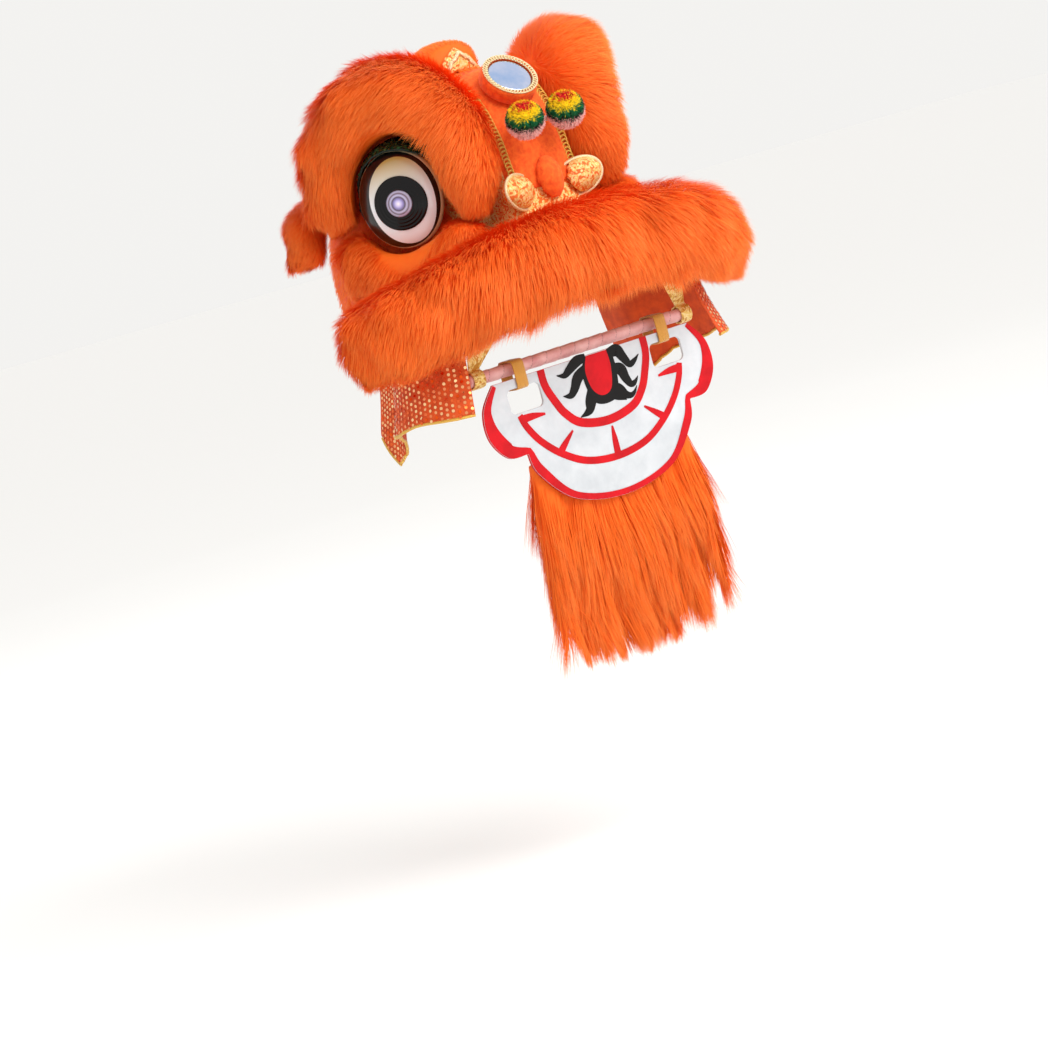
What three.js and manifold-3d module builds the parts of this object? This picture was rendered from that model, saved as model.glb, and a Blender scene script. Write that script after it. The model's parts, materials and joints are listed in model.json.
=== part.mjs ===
// A lion dance head covered in long orange fur, with a painted jaw board and a beard.
// Millimetres, +Z up. The lion looks along -Y and its right side is -X.
// The origin is the middle of the neck opening, where the wearer's shoulders are.

import * as THREE from "three";
import { mergeVertices } from "three/addons/utils/BufferGeometryUtils.js";
import Module from "manifold-3d";

const wasm = await Module();
wasm.setup();

const deg = THREE.MathUtils.degToRad;
const vec = (x, y, z) => new THREE.Vector3(x, y, z);
const UP = vec(0, 0, 1);
const GAP = 0.6;
const DETAIL = 0.2;

// Shell: the hollow dome that every other piece is sewn or glued to
const HEART = vec(0, -30, 130);
const WALL = 5;
const SHELL_COLUMNS = 32;
const SHELL_ROWS = 10;
const SKIRT_BOTTOM = -170;
const BLEND = 34;
const MASSES = [
  { name: "cranium", centre: vec(0, 10, 115), half: vec(200, 215, 230) },
  { name: "forehead", centre: vec(0, -85, 238), half: vec(115, 105, 124) },
  { name: "snout", centre: vec(0, -110, 72), half: vec(276, 125, 86) },
  { name: "brow ridge", centre: vec(-122, -52, 262), half: vec(86, 90, 86) },
];
const RIM = [
  { azimuth: 0, height: 48 },
  { azimuth: 45, height: 42 },
  { azimuth: 75, height: 34 },
  { azimuth: 110, height: 46 },
  { azimuth: 150, height: 86 },
  { azimuth: 180, height: 96 },
];

// Eyes: a domed eye on a plug, with a lid that turns on the axle through the plug
const EYE_TURN = deg(-52);
const EYE_CENTRE = vec(-138.7, -72, 216);
const EYE_BASE = 30;
const EYE_HALF_WIDTH = 58;
const EYE_HALF_HEIGHT = 66;
const EYE_DOME = 30;
const PLUG_RADIUS = 32;
const SOCKET_DEPTH = 21;
const SOCKET_RADIUS = 114;
const IRIS = { x: 6, z: -5, radius: 36, from: 0.4, to: 3.0 };
const PUPIL = { x: 6, z: -5, radius: 18, from: 3.5, to: 6.5 };
const AXLE_RADIUS = 2.6;
const AXLE_HALF = 69;
const LID_RADIUS = 80;
const LID_HALF_WIDTH = 66;
const LID_THICK = 2.4;
const LID_FROM = deg(56);
const LID_TO = deg(92);
const LID_WIDEST = deg(78);
const LID_EAR = { inner: 62.2, outer: 65.6, radius: 17, hole: 3.3 };
const LID_ROOM = vec(76, 85, 85);

// Fur rolls: rows run along a roll, half is the radius of the roll without its locks
const ROLL_SIDES = 7;
const FUR_DETAIL = 2;
const LOCK_ROOT = 7;
const LOCK_ROOM = 22;
const BROW = [
  { angle: -30, ring: 104, half: 27, depth: 38, out: 44 },
  { angle: 5, ring: 104, half: 36, depth: 50, out: 32 },
  { angle: 45, ring: 122, half: 45, depth: 62, out: 19 },
  { angle: 82, ring: 138, half: 51, depth: 69, out: 14 },
  { angle: 120, ring: 123, half: 51, depth: 66, out: 14 },
  { angle: 150, ring: 107, half: 43, depth: 54, out: 10 },
  { angle: 176, ring: 98, half: 35, depth: 46, out: 14 },
  { angle: 196, ring: 94, half: 27, depth: 38, out: 18 },
];
const CHEEK = [
  { angle: 204, ring: 98, half: 27, depth: 34, out: 16 },
  { angle: 228, ring: 100, half: 36, depth: 42, out: 20 },
  { angle: 262, ring: 95, half: 35, depth: 48, out: 28 },
  { angle: 296, ring: 97, half: 34, depth: 50, out: 36 },
  { angle: 330, ring: 106, half: 25, depth: 38, out: 44 },
];
const CORRIDOR_HALF = 62;
const BROW_FROM = -26;
const BROW_TO = 200;
const SEAM = 0.5;
const LIP = { halfWidth: 284, reach: 138, back: -113, height: 96, sag: 52, sweep: 96 };
const LIP_HALF_OUT = 48;
const LIP_HALF_UP = 56;
const LIP_STATIONS = 15;
const EAR = [
  { at: vec(-172, 46, 236), half: 26 },
  { at: vec(-208, 50, 228), half: 34 },
  { at: vec(-232, 52, 198), half: 33 },
  { at: vec(-238, 52, 162), half: 18 },
];
const HORN_Y = -30;
const HORN_FACE = { from: 30, to: 42, clear: 120 };
const HORN = [
  { at: vec(0, HORN_Y, 318), half: 52 },
  { at: vec(0, HORN_Y, 356), half: 55 },
  { at: vec(0, HORN_Y, 388), half: 45 },
  { at: vec(0, HORN_Y, 405), half: 26 },
];

// Face: brocade and plush pieces between the brows
const PANEL = { half: 58, y: -60, z: 240, from: -22, to: 66, thick: 3.2 };
const MIRROR_TILT = deg(40);
const MIRROR_AT = vec(0, -171, 334);
const MIRROR_RADIUS = 31;
const BEZEL_RADIUS = 39;
const POMPOM_RADIUS = 31;
const TUFT_FOOT = 0.88;
const POMPOM_AT = vec(-33, -226, 274);
const STEM_RADIUS = 4;
const NOSE_WING = { at: vec(-50, -196, 184), half: vec(36, 17, 25), turn: deg(22), tilt: deg(14) };
const NOSE_BRIDGE = { at: vec(0, -197, 192), half: vec(22, 21, 34) };

// Jaw: a painted board that hangs by two straps from a bar between the mouth corners
const BAR_AT = vec(0, -172, -36);
const BAR_RADIUS = 9;
const BAR_HALF = 190;
const BOARD_THICK = 4;
const BOARD_BACK = -15;
const BOARD_TOP = -12;
const BOARD_OUTLINE = [
  { x: 168, z: 0 },
  { x: 192, z: -30 },
  { x: 194, z: -68 },
  { x: 172, z: -98 },
  { x: 141, z: -101 },
  { x: 132, z: -132 },
  { x: 84, z: -178 },
  { x: 0, z: -195 },
];
const SLOT = { x: 122, half: 27, top: -13, bottom: -46, corner: 10 };
const STRAP = { width: 18, thick: 2, front: -20.6, back: 9.8, top: 9.8, bottom: -26.2, corner: 5 };
const BEARD_STRIPS = 11;
const BEARD_HALF = 136;
const BEARD_TOP = -120;
const BEARD_LENGTH = 290;
const BEARD_LEAN = 0.04;

// Cloth: the sides of the mouth and the flaps under the mouth corners
const CLOTH = 2;
const MOUTH_SIDE = { from: 33, to: 49, columns: 3, rows: 3, loop: 13.2, inner: 170, outer: 187 };
const FLAP = { from: 51, to: 108, columns: 12, rows: 2, flare: 26, wave: 5, waves: 2.5 };
const FLAP_HEM = [
  { along: 0, depth: 116 },
  { along: 0.3, depth: 106 },
  { along: 0.58, depth: 124 },
  { along: 0.84, depth: 172 },
  { along: 1, depth: 132 },
];

const COLOURS = {
  fur: { color: 0xff6a1e, roughness: 0.85 },
  plush: { color: 0xf05a18, roughness: 0.9 },
  gold: { color: 0xd9a441, roughness: 0.45, metalness: 0.4 },
  white: { color: 0xf2efe6, roughness: 0.5 },
  black: { color: 0x101010, roughness: 0.25 },
  glass: { color: 0x8f86b8, roughness: 0.1, metalness: 0.3 },
  green: { color: 0x1f4a34, roughness: 0.4, metalness: 0.3 },
  mirror: { color: 0xbcd0ee, roughness: 0.05, metalness: 1 },
  silver: { color: 0xe6d9b4, roughness: 0.4, metalness: 0.5 },
  yellow: { color: 0xf2c31b, roughness: 0.95 },
  steel: { color: 0x9a9a98, roughness: 0.35, metalness: 0.9 },
  pink: { color: 0xd99a9a, roughness: 0.8 },
  amber: { color: 0xd98a1c, roughness: 0.7 },
  sequin: { color: 0xf07a26, roughness: 0.5, metalness: 0.2 },
};

// A closed mesh from points and triangles, turned so that its faces look outward
function meshFrom(points, triangles) {
  let volume = 0;
  for (const [a, b, c] of triangles) {
    volume += points[a].dot(points[b].clone().cross(points[c]));
  }
  const geometry = new THREE.BufferGeometry().setFromPoints(points);
  geometry.setIndex(triangles.flatMap(([a, b, c]) => (volume < 0 ? [a, c, b] : [a, b, c])));
  return geometry;
}

function solid(geometry) {
  const bare = geometry.clone();
  bare.deleteAttribute("normal");
  bare.deleteAttribute("uv");
  const merged = mergeVertices(bare, 1e-4);
  const position = merged.attributes.position;
  const points = [];
  for (let i = 0; i < position.count; i += 1) {
    points.push(new THREE.Vector3().fromBufferAttribute(position, i));
  }
  const triangles = [];
  for (let i = 0; i < merged.index.count; i += 3) {
    const [a, b, c] = [0, 1, 2].map((corner) => merged.index.getX(i + corner));
    if (a !== b && b !== c && c !== a) {
      triangles.push([a, b, c]);
    }
  }
  const turned = meshFrom(points, triangles);
  const vertProperties = new Float32Array(turned.attributes.position.array);
  const triVerts = new Uint32Array(turned.index.array);
  return new wasm.Manifold(new wasm.Mesh({ numProp: 3, vertProperties, triVerts }));
}

function largestBody(manifold) {
  const bodies = manifold.decompose();
  return bodies.reduce((best, body) => (body.volume() > best.volume() ? body : best));
}

function geometryOf(manifold) {
  const mesh = largestBody(manifold).simplify(DETAIL).getMesh();
  const geometry = new THREE.BufferGeometry();
  geometry.setAttribute("position", new THREE.Float32BufferAttribute(mesh.vertProperties, 3));
  geometry.setIndex([...mesh.triVerts]);
  return geometry;
}

const union = (solids) => wasm.Manifold.union(solids);

// A value read from a table of rows, in proportion between them
function readTable(rows, key, at, value) {
  const last = rows.length - 1;
  let i = 0;
  while (i < last - 1 && at > rows[i + 1][key]) {
    i += 1;
  }
  const share = (at - rows[i][key]) / (rows[i + 1][key] - rows[i][key]);
  const between = THREE.MathUtils.clamp(share, 0, 1);
  return THREE.MathUtils.lerp(rows[i][value], rows[i + 1][value], between);
}

// A tube through rings of points, closed at both ends
function loft(rings) {
  const sides = rings[0].length;
  const points = rings.flat();
  const triangles = [];
  for (let r = 0; r + 1 < rings.length; r += 1) {
    for (let s = 0; s < sides; s += 1) {
      const a = r * sides + s;
      const b = r * sides + ((s + 1) % sides);
      triangles.push([a, b, b + sides], [a, b + sides, a + sides]);
    }
  }
  for (const ring of [0, rings.length - 1]) {
    const middle = rings[ring].reduce((sum, p) => sum.add(p), vec(0, 0, 0)).divideScalar(sides);
    const hub = points.push(middle) - 1;
    for (let s = 0; s < sides; s += 1) {
      const a = ring * sides + s;
      const b = ring * sides + ((s + 1) % sides);
      triangles.push(ring === 0 ? [b, a, hub] : [a, b, hub]);
    }
  }
  return meshFrom(points, triangles);
}

// A sheet of even thickness from a grid of points, rows by columns
function sheet(grid, thickness) {
  const rows = grid.length;
  const columns = grid[0].length;
  const faces = [[], []];
  for (let r = 0; r < rows; r += 1) {
    for (let c = 0; c < columns; c += 1) {
      const along = grid[r][Math.min(c + 1, columns - 1)].clone().sub(grid[r][Math.max(c - 1, 0)]);
      const down = grid[Math.min(r + 1, rows - 1)][c].clone().sub(grid[Math.max(r - 1, 0)][c]);
      const normal = along.cross(down).normalize().multiplyScalar(thickness / 2);
      faces[0].push(grid[r][c].clone().add(normal));
      faces[1].push(grid[r][c].clone().sub(normal));
    }
  }
  const back = rows * columns;
  const triangles = [];
  for (let r = 0; r + 1 < rows; r += 1) {
    for (let c = 0; c + 1 < columns; c += 1) {
      const a = r * columns + c;
      const b = a + 1;
      const d = a + columns;
      const e = d + 1;
      triangles.push([a, b, e], [a, e, d]);
      triangles.push([back + b, back + a, back + e], [back + e, back + a, back + d]);
    }
  }
  const edge = [];
  for (let c = 0; c < columns - 1; c += 1) {
    edge.push(c);
  }
  for (let r = 0; r < rows - 1; r += 1) {
    edge.push(r * columns + columns - 1);
  }
  for (let c = columns - 1; c > 0; c -= 1) {
    edge.push((rows - 1) * columns + c);
  }
  for (let r = rows - 1; r > 0; r -= 1) {
    edge.push(r * columns);
  }
  edge.forEach((a, i) => {
    const b = edge[(i + 1) % edge.length];
    triangles.push([b, a, back + a], [b, back + a, back + b]);
  });
  return meshFrom([...faces[0], ...faces[1]], triangles);
}

// Shell

const EYE_OUT = vec(0, -1, 0).applyAxisAngle(UP, EYE_TURN);
const EYE_FRAME = new THREE.Matrix4().makeRotationZ(EYE_TURN).setPosition(EYE_CENTRE);

function ellipsoidField(p, { centre, half }) {
  const offset = p.clone().sub(centre);
  const near = offset.clone().divide(half).length();
  const slope = offset.clone().divide(half).divide(half).length();
  return slope === 0 ? -Math.min(half.x, half.y, half.z) : (near * (near - 1)) / slope;
}

function smoothMin(a, b) {
  const share = THREE.MathUtils.clamp(0.5 + (0.5 * (b - a)) / BLEND, 0, 1);
  return THREE.MathUtils.lerp(b, a, share) - BLEND * share * (1 - share);
}

// Below zero inside the dome; a flat seat is sunk into it behind each eye
function skinField(point) {
  const p = vec(-Math.abs(point.x), point.y, point.z);
  const dome = MASSES.map((mass) => ellipsoidField(p, mass)).reduce(smoothMin);
  const toEye = p.sub(EYE_CENTRE);
  const depth = toEye.dot(EYE_OUT);
  const aside = toEye.addScaledVector(EYE_OUT, -depth).length();
  return Math.max(dome, Math.min(depth + SOCKET_DEPTH, SOCKET_RADIUS - aside));
}

// Where a ray from a point inside first leaves the dome
function skinPoint(from, direction) {
  const step = 5;
  let far = 20;
  while (skinField(from.clone().addScaledVector(direction, far)) < 0) {
    far += step;
  }
  let near = far - step;
  for (let i = 0; i < 16; i += 1) {
    const middle = (near + far) / 2;
    if (skinField(from.clone().addScaledVector(direction, middle)) < 0) {
      near = middle;
    } else {
      far = middle;
    }
  }
  return from.clone().addScaledVector(direction, far);
}

// Azimuth 0 looks to the front, azimuth 90 to the lion's right
function heading(azimuth, elevation) {
  const level = Math.cos(elevation);
  return vec(-Math.sin(azimuth) * level, -Math.cos(azimuth) * level, Math.sin(elevation));
}

function rimPoint(azimuth) {
  const turned = THREE.MathUtils.radToDeg(Math.abs(Math.atan2(Math.sin(azimuth), Math.cos(azimuth))));
  const height = readTable(RIM, "azimuth", turned, "height");
  let low = deg(-70);
  let high = deg(50);
  for (let i = 0; i < 22; i += 1) {
    const middle = (low + high) / 2;
    if (skinPoint(HEART, heading(azimuth, middle)).z < height) {
      low = middle;
    } else {
      high = middle;
    }
  }
  return { elevation: high, point: skinPoint(HEART, heading(azimuth, high)) };
}

const SKIN = [];
for (let c = 0; c < SHELL_COLUMNS; c += 1) {
  const azimuth = (2 * Math.PI * c) / SHELL_COLUMNS;
  const rim = rimPoint(azimuth).elevation;
  const column = [];
  for (let r = 0; r < SHELL_ROWS; r += 1) {
    const rise = THREE.MathUtils.lerp(rim, Math.PI / 2, r / SHELL_ROWS);
    column.push(skinPoint(HEART, heading(azimuth, rise)));
  }
  SKIN.push(column);
}
const CROWN = skinPoint(HEART, UP);

const grown = (point, by) => point.clone().add(point.clone().sub(HEART).setLength(by));

// One face of the dome: the rim first, the crown last
function skinLayer(by, rows) {
  const points = [];
  for (let r = 0; r < rows; r += 1) {
    for (const column of SKIN) {
      points.push(grown(column[r], by));
    }
  }
  points.push(grown(CROWN, by));
  const triangles = [];
  for (let c = 0; c < SHELL_COLUMNS; c += 1) {
    const next = (c + 1) % SHELL_COLUMNS;
    for (let r = 0; r + 1 < rows; r += 1) {
      const a = r * SHELL_COLUMNS + c;
      const b = r * SHELL_COLUMNS + next;
      const e = a + SHELL_COLUMNS;
      const f = b + SHELL_COLUMNS;
      triangles.push(...(c < SHELL_COLUMNS / 2 ? [[a, b, f], [a, f, e]] : [[a, b, e], [b, f, e]]));
    }
    const top = (rows - 1) * SHELL_COLUMNS;
    triangles.push([top + c, top + next, points.length - 1]);
  }
  return { points, triangles };
}

function shellGeometry() {
  const outer = skinLayer(0, SHELL_ROWS);
  const inner = skinLayer(-WALL, SHELL_ROWS);
  const shift = outer.points.length;
  const triangles = [...outer.triangles];
  for (const [a, b, c] of inner.triangles) {
    triangles.push([a + shift, c + shift, b + shift]);
  }
  for (let c = 0; c < SHELL_COLUMNS; c += 1) {
    const next = (c + 1) % SHELL_COLUMNS;
    triangles.push([next, c, c + shift], [next, c + shift, next + shift]);
  }
  return meshFrom([...outer.points, ...inner.points], triangles);
}

// The dome filled in and drawn straight down below its rim, to fit other pieces against
function coreSolid(by) {
  const { points, triangles } = skinLayer(by, SHELL_ROWS);
  const foot = points.length;
  for (let c = 0; c < SHELL_COLUMNS; c += 1) {
    points.push(vec(points[c].x, points[c].y, SKIRT_BOTTOM));
  }
  const hub = points.push(vec(HEART.x, HEART.y, SKIRT_BOTTOM)) - 1;
  for (let c = 0; c < SHELL_COLUMNS; c += 1) {
    const next = (c + 1) % SHELL_COLUMNS;
    triangles.push([foot + c, foot + next, next], [foot + c, next, c], [foot + next, foot + c, hub]);
  }
  return solid(meshFrom(points, triangles));
}

const CORE = coreSolid(GAP);
const CORE_AND_PANEL = coreSolid(PANEL.thick + 2 * GAP);
const fitted = (manifold) => manifold.subtract(CORE);

// Fur

// A lock grows from root, rises along normal to a ridge and lies over along comb to its tip
function lock({ root, normal, comb, length, width }) {
  const aside = comb.clone().cross(normal).normalize();
  const at = (alongNormal, alongComb, alongAside) =>
    root
      .clone()
      .addScaledVector(normal, alongNormal)
      .addScaledVector(comb, alongComb)
      .addScaledVector(aside, alongAside);
  const points = [
    at(-LOCK_ROOT, 0, width / 2),
    at(-LOCK_ROOT, 0, -width / 2),
    at(-LOCK_ROOT, -0.35 * width, 0),
    at(0.2 * length, 0.45 * length, 0),
    at(0.1 * length, length, 0),
  ];
  const [left, right, back, ridge, tip] = points.keys();
  return solid(
    meshFrom(points, [
      [left, ridge, tip],
      [ridge, right, tip],
      [left, back, ridge],
      [back, right, ridge],
      [left, tip, right],
      [left, right, back],
    ])
  );
}

// A station of a roll has a middle, an outward and an upward way and a half-size along each
function stationPoint({ at, out, up, halfOut, halfUp }, angle) {
  return at
    .clone()
    .addScaledVector(out, halfOut * Math.cos(angle))
    .addScaledVector(up, halfUp * Math.sin(angle));
}

function stationNormal({ out, up, halfOut, halfUp }, angle) {
  return vec(0, 0, 0)
    .addScaledVector(out, Math.cos(angle) / halfOut)
    .addScaledVector(up, Math.sin(angle) / halfUp)
    .normalize();
}

function rollBacking(stations, extra = 0) {
  const rings = stations.map((station) => {
    const ring = [];
    const halfOut = station.halfOut + extra;
    const halfUp = station.halfUp + extra;
    for (let s = 0; s < ROLL_SIDES; s += 1) {
      ring.push(stationPoint({ ...station, halfOut, halfUp }, (2 * Math.PI * s) / ROLL_SIDES));
    }
    return ring;
  });
  return solid(loft(rings));
}

// Rows of locks on a roll: angle is round the roll, comb is the way the tips lie
function furRoll(stationAt, count, rows) {
  const stations = Array.from({ length: count }, (_, i) => stationAt(i / (count - 1)));
  const solids = [rollBacking(stations)];
  for (const row of rows) {
    for (let i = 0; i < row.count; i += 1) {
      const share = THREE.MathUtils.lerp(row.from, row.to, (i + 0.5) / row.count);
      const station = stationAt(share);
      const uneven = 1 + 0.12 * Math.sin(7.3 * i + 2.1 * row.angle);
      const normal = stationNormal(station, deg(row.angle));
      const comb = row.comb(station).clone();
      comb.addScaledVector(normal, -comb.dot(normal)).normalize();
      solids.push(
        lock({
          root: stationPoint(station, deg(row.angle)),
          normal,
          comb,
          length: row.length * uneven,
          width: row.width,
        })
      );
    }
  }
  return union(solids).simplify(FUR_DETAIL);
}

// A roll that runs round the eye by the rows of a table
function eyeStation(rows, share) {
  const angle = THREE.MathUtils.lerp(rows[0].angle, rows[rows.length - 1].angle, share);
  const read = (value) => readTable(rows, "angle", angle, value);
  const away = vec(Math.cos(deg(angle)), 0, Math.sin(deg(angle)));
  const along = vec(-Math.sin(deg(angle)), 0, Math.cos(deg(angle)));
  const at = away.clone().multiplyScalar(read("ring")).add(vec(0, -read("out"), 0));
  return {
    at: at.applyMatrix4(EYE_FRAME),
    out: EYE_OUT,
    up: away.applyAxisAngle(UP, EYE_TURN),
    along: along.applyAxisAngle(UP, EYE_TURN),
    halfOut: read("depth"),
    halfUp: read("half"),
  };
}

function lidRoom() {
  const room = new THREE.SphereGeometry(1, 20, 12).scale(LID_ROOM.x, LID_ROOM.y, LID_ROOM.z);
  return solid(room.applyMatrix4(EYE_FRAME));
}

const LID_ROOM_SOLID = lidRoom();
const CORRIDOR = solid(new THREE.BoxGeometry(2 * CORRIDOR_HALF, 400, 400).translate(0, -200, 300));

// A wedge of space round the eye, between two angles
function eyeWedge(from, to) {
  const reach = 400;
  const shape = new THREE.Shape();
  shape.moveTo(0, 0);
  for (let i = 0; i <= 6; i += 1) {
    const angle = deg(THREE.MathUtils.lerp(from, to, i / 6));
    shape.lineTo(reach * Math.cos(angle), reach * Math.sin(angle));
  }
  const wedge = new THREE.ExtrudeGeometry(shape, { depth: 2 * reach, bevelEnabled: false });
  return solid(wedge.translate(0, 0, -reach).rotateX(Math.PI / 2).applyMatrix4(EYE_FRAME));
}

function browSolid() {
  const over = ({ along, up }) => along.clone().addScaledVector(up, 0.45);
  const overEye = ({ along, up }) => along.clone().multiplyScalar(0.5).sub(up).addScaledVector(UP, -0.7);
  const roll = furRoll((share) => eyeStation(BROW, share), 9, [
    { angle: 96, from: 0.08, to: 0.86, count: 6, length: 60, width: 64, comb: over },
    { angle: 40, from: 0.04, to: 0.94, count: 6, length: 64, width: 66, comb: over },
    { angle: -14, from: 0.1, to: 0.9, count: 4, length: 50, width: 58, comb: overEye },
  ]);
  const room = union([LID_ROOM_SOLID, CORRIDOR, eyeWedge(BROW_TO, 360 + BROW_FROM)]);
  return fitted(roll).subtract(room);
}

function cheekSolid() {
  const under = (station) => station.along.clone().multiplyScalar(-0.5).addScaledVector(UP, -0.9);
  const roll = furRoll((share) => eyeStation(CHEEK, share), 5, [
    { angle: 15, from: 0.02, to: 0.98, count: 4, length: 46, width: 48, comb: under },
    { angle: 70, from: 0.02, to: 0.98, count: 4, length: 44, width: 48, comb: under },
  ]);
  return fitted(roll).subtract(LID_ROOM_SOLID).subtract(eyeWedge(BROW_FROM - SEAM, BROW_TO + SEAM));
}

function lipStation(share) {
  const angle = deg(THREE.MathUtils.lerp(-LIP.sweep, LIP.sweep, share));
  const side = Math.sin(angle);
  const front = Math.cos(angle);
  const ends = 1 - 0.3 * Math.max(0, (Math.abs(share - 0.5) - 0.42) / 0.08);
  return {
    at: vec(LIP.halfWidth * side, LIP.back - LIP.reach * front, LIP.height - LIP.sag * side * side),
    out: vec(LIP.reach * side, -LIP.halfWidth * front, 0).normalize(),
    up: UP,
    along: vec(LIP.halfWidth * front, LIP.reach * side, 0).normalize(),
    halfOut: LIP_HALF_OUT * ends,
    halfUp: LIP_HALF_UP * ends,
  };
}

function lipSolid() {
  const down = ({ along, at, out }) =>
    along
      .clone()
      .multiplyScalar((0.5 * at.x) / LIP.halfWidth)
      .addScaledVector(UP, -0.85)
      .addScaledVector(out, 0.2);
  const roll = furRoll(lipStation, LIP_STATIONS, [
    { angle: 64, from: 0.02, to: 0.98, count: 10, length: 66, width: 74, comb: down },
    { angle: 14, from: 0, to: 1, count: 11, length: 66, width: 72, comb: down },
    { angle: -38, from: 0.02, to: 0.98, count: 9, length: 56, width: 70, comb: down },
  ]);
  return fitted(roll);
}

// A stubby lobe of fur through the rows of a table, such as an ear
function lobeStation(rows, out, share, flatness) {
  const path = new THREE.CatmullRomCurve3(rows.map((row) => row.at));
  const along = path.getTangent(share);
  const halves = rows.map((row, i) => ({ share: i / (rows.length - 1), half: row.half }));
  const half = readTable(halves, "share", share, "half");
  const up = along.clone().cross(out).normalize();
  return {
    at: path.getPoint(share),
    out: up.clone().cross(along).normalize(),
    up,
    along,
    halfOut: half * flatness,
    halfUp: half,
  };
}

function earSolid() {
  const tipward = (station) => station.along;
  const outward = vec(-1, -0.4, 0.4).normalize();
  const roll = furRoll((share) => lobeStation(EAR, outward, share, 0.7), 6, [
    { angle: 0, from: 0.3, to: 0.95, count: 2, length: 46, width: 46, comb: tipward },
    { angle: 75, from: 0.3, to: 0.95, count: 2, length: 46, width: 44, comb: tipward },
    { angle: -75, from: 0.3, to: 0.95, count: 2, length: 46, width: 44, comb: tipward },
  ]);
  const browStations = Array.from({ length: 10 }, (_, i) => eyeStation(BROW, i / 8));
  return fitted(roll).subtract(rollBacking(browStations, LOCK_ROOM));
}

// A slab of space in front of the middle of the horn
function hornFaceSlab(from, to) {
  const slab = new THREE.BoxGeometry(160, to - from, 160).translate(0, HORN_Y - (from + to) / 2, 356);
  return solid(slab);
}

function hornSolids() {
  const station = (share) => lobeStation(HORN, vec(0, -1, 0), share, 0.9);
  const upward = () => UP;
  const rows = [80, 130, 180, 230, 280].map((angle) => (
    { angle, from: 0.35, to: 0.9, count: 1, length: 40, width: 50, comb: upward }
  ));
  const roll = furRoll(station, 6, rows);
  const backing = rollBacking(Array.from({ length: 6 }, (_, i) => station(i / 5)));
  return {
    horn: fitted(roll.subtract(hornFaceSlab(HORN_FACE.from, HORN_FACE.clear))),
    face: fitted(backing.intersect(hornFaceSlab(HORN_FACE.from + GAP, HORN_FACE.to))),
  };
}

// Face pieces

// Shapes drawn in the YZ plane stand upright and run along X
const ACROSS = new THREE.Matrix4().makeBasis(vec(0, 1, 0), UP, vec(1, 0, 0));

// Plush laid on the forehead between the brows
function panelSolid() {
  const reach = 300;
  const shape = new THREE.Shape();
  shape.moveTo(0, 0);
  for (let i = 0; i <= 4; i += 1) {
    const rise = deg(THREE.MathUtils.lerp(PANEL.to, PANEL.from, i / 4));
    shape.lineTo(-reach * Math.cos(rise), reach * Math.sin(rise));
  }
  const wedge = new THREE.ExtrudeGeometry(shape, { depth: 2 * PANEL.half, bevelEnabled: false });
  wedge.applyMatrix4(ACROSS).translate(-PANEL.half, PANEL.y, PANEL.z);
  return fitted(coreSolid(GAP + PANEL.thick).intersect(solid(wedge)));
}

// A round piece turned about the way the mirror looks
function mirrorTurned(profile, segments) {
  const geometry = new THREE.LatheGeometry(profile.map(([r, h]) => new THREE.Vector2(r, h)), segments);
  const turn = new THREE.Matrix4().makeRotationX(Math.PI - MIRROR_TILT).setPosition(MIRROR_AT);
  return solid(geometry.applyMatrix4(turn));
}

// A ball of wool whose tufts stand out from it
function pompomSolid(extra) {
  const round = new THREE.IcosahedronGeometry(POMPOM_RADIUS + extra, 2);
  round.deleteAttribute("normal");
  round.deleteAttribute("uv");
  const ball = mergeVertices(round, 1e-3);
  const position = ball.attributes.position;
  for (let i = 0; i < position.count; i += 1) {
    const tuft = i % 3 === 0 ? 1 : TUFT_FOOT;
    position.setXYZ(i, position.getX(i) * tuft, position.getY(i) * tuft, position.getZ(i) * tuft);
  }
  return solid(ball.translate(POMPOM_AT.x, POMPOM_AT.y, POMPOM_AT.z));
}

// The spring that carries a pompom, from the forehead to the foot of the tufts
function stemSolid() {
  const foot = vec(POMPOM_AT.x * 0.7, -120, POMPOM_AT.z - 12);
  const length = POMPOM_AT.distanceTo(foot);
  const stem = new THREE.CylinderGeometry(STEM_RADIUS, STEM_RADIUS, length, 8);
  const way = POMPOM_AT.clone().sub(foot).normalize();
  const turn = new THREE.Quaternion().setFromUnitVectors(vec(0, 1, 0), way);
  const middle = POMPOM_AT.clone().add(foot).multiplyScalar(0.5);
  const placed = new THREE.Matrix4().compose(middle, turn, vec(1, 1, 1));
  return solid(stem.applyMatrix4(placed)).subtract(CORE_AND_PANEL).subtract(pompomSolid(GAP / 2));
}

// A padded ball, drawn out and turned
function puff({ at, half, turn = 0, tilt = 0 }, extra = 0) {
  const ball = new THREE.SphereGeometry(1, 10, 7).scale(half.x + extra, half.y + extra, half.z + extra);
  return solid(ball.rotateY(tilt).rotateZ(turn).translate(at.x, at.y, at.z));
}

// Eyes, in the eye's own frame: -Y looks out, +X is towards the nose

function domeProfile(extra) {
  const profile = [[0, 0], [1, 0]];
  for (let i = 1; i <= 5; i += 1) {
    const angle = (Math.PI / 2) * (i / 5);
    profile.push([i === 5 ? 0 : Math.cos(angle), Math.sin(angle)]);
  }
  const lathe = new THREE.LatheGeometry(profile.map(([r, h]) => new THREE.Vector2(r, h)), 14);
  lathe.scale(EYE_HALF_WIDTH + extra, -(EYE_DOME + extra), EYE_HALF_HEIGHT + extra);
  return solid(lathe.translate(0, -EYE_BASE, 0));
}

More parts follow.
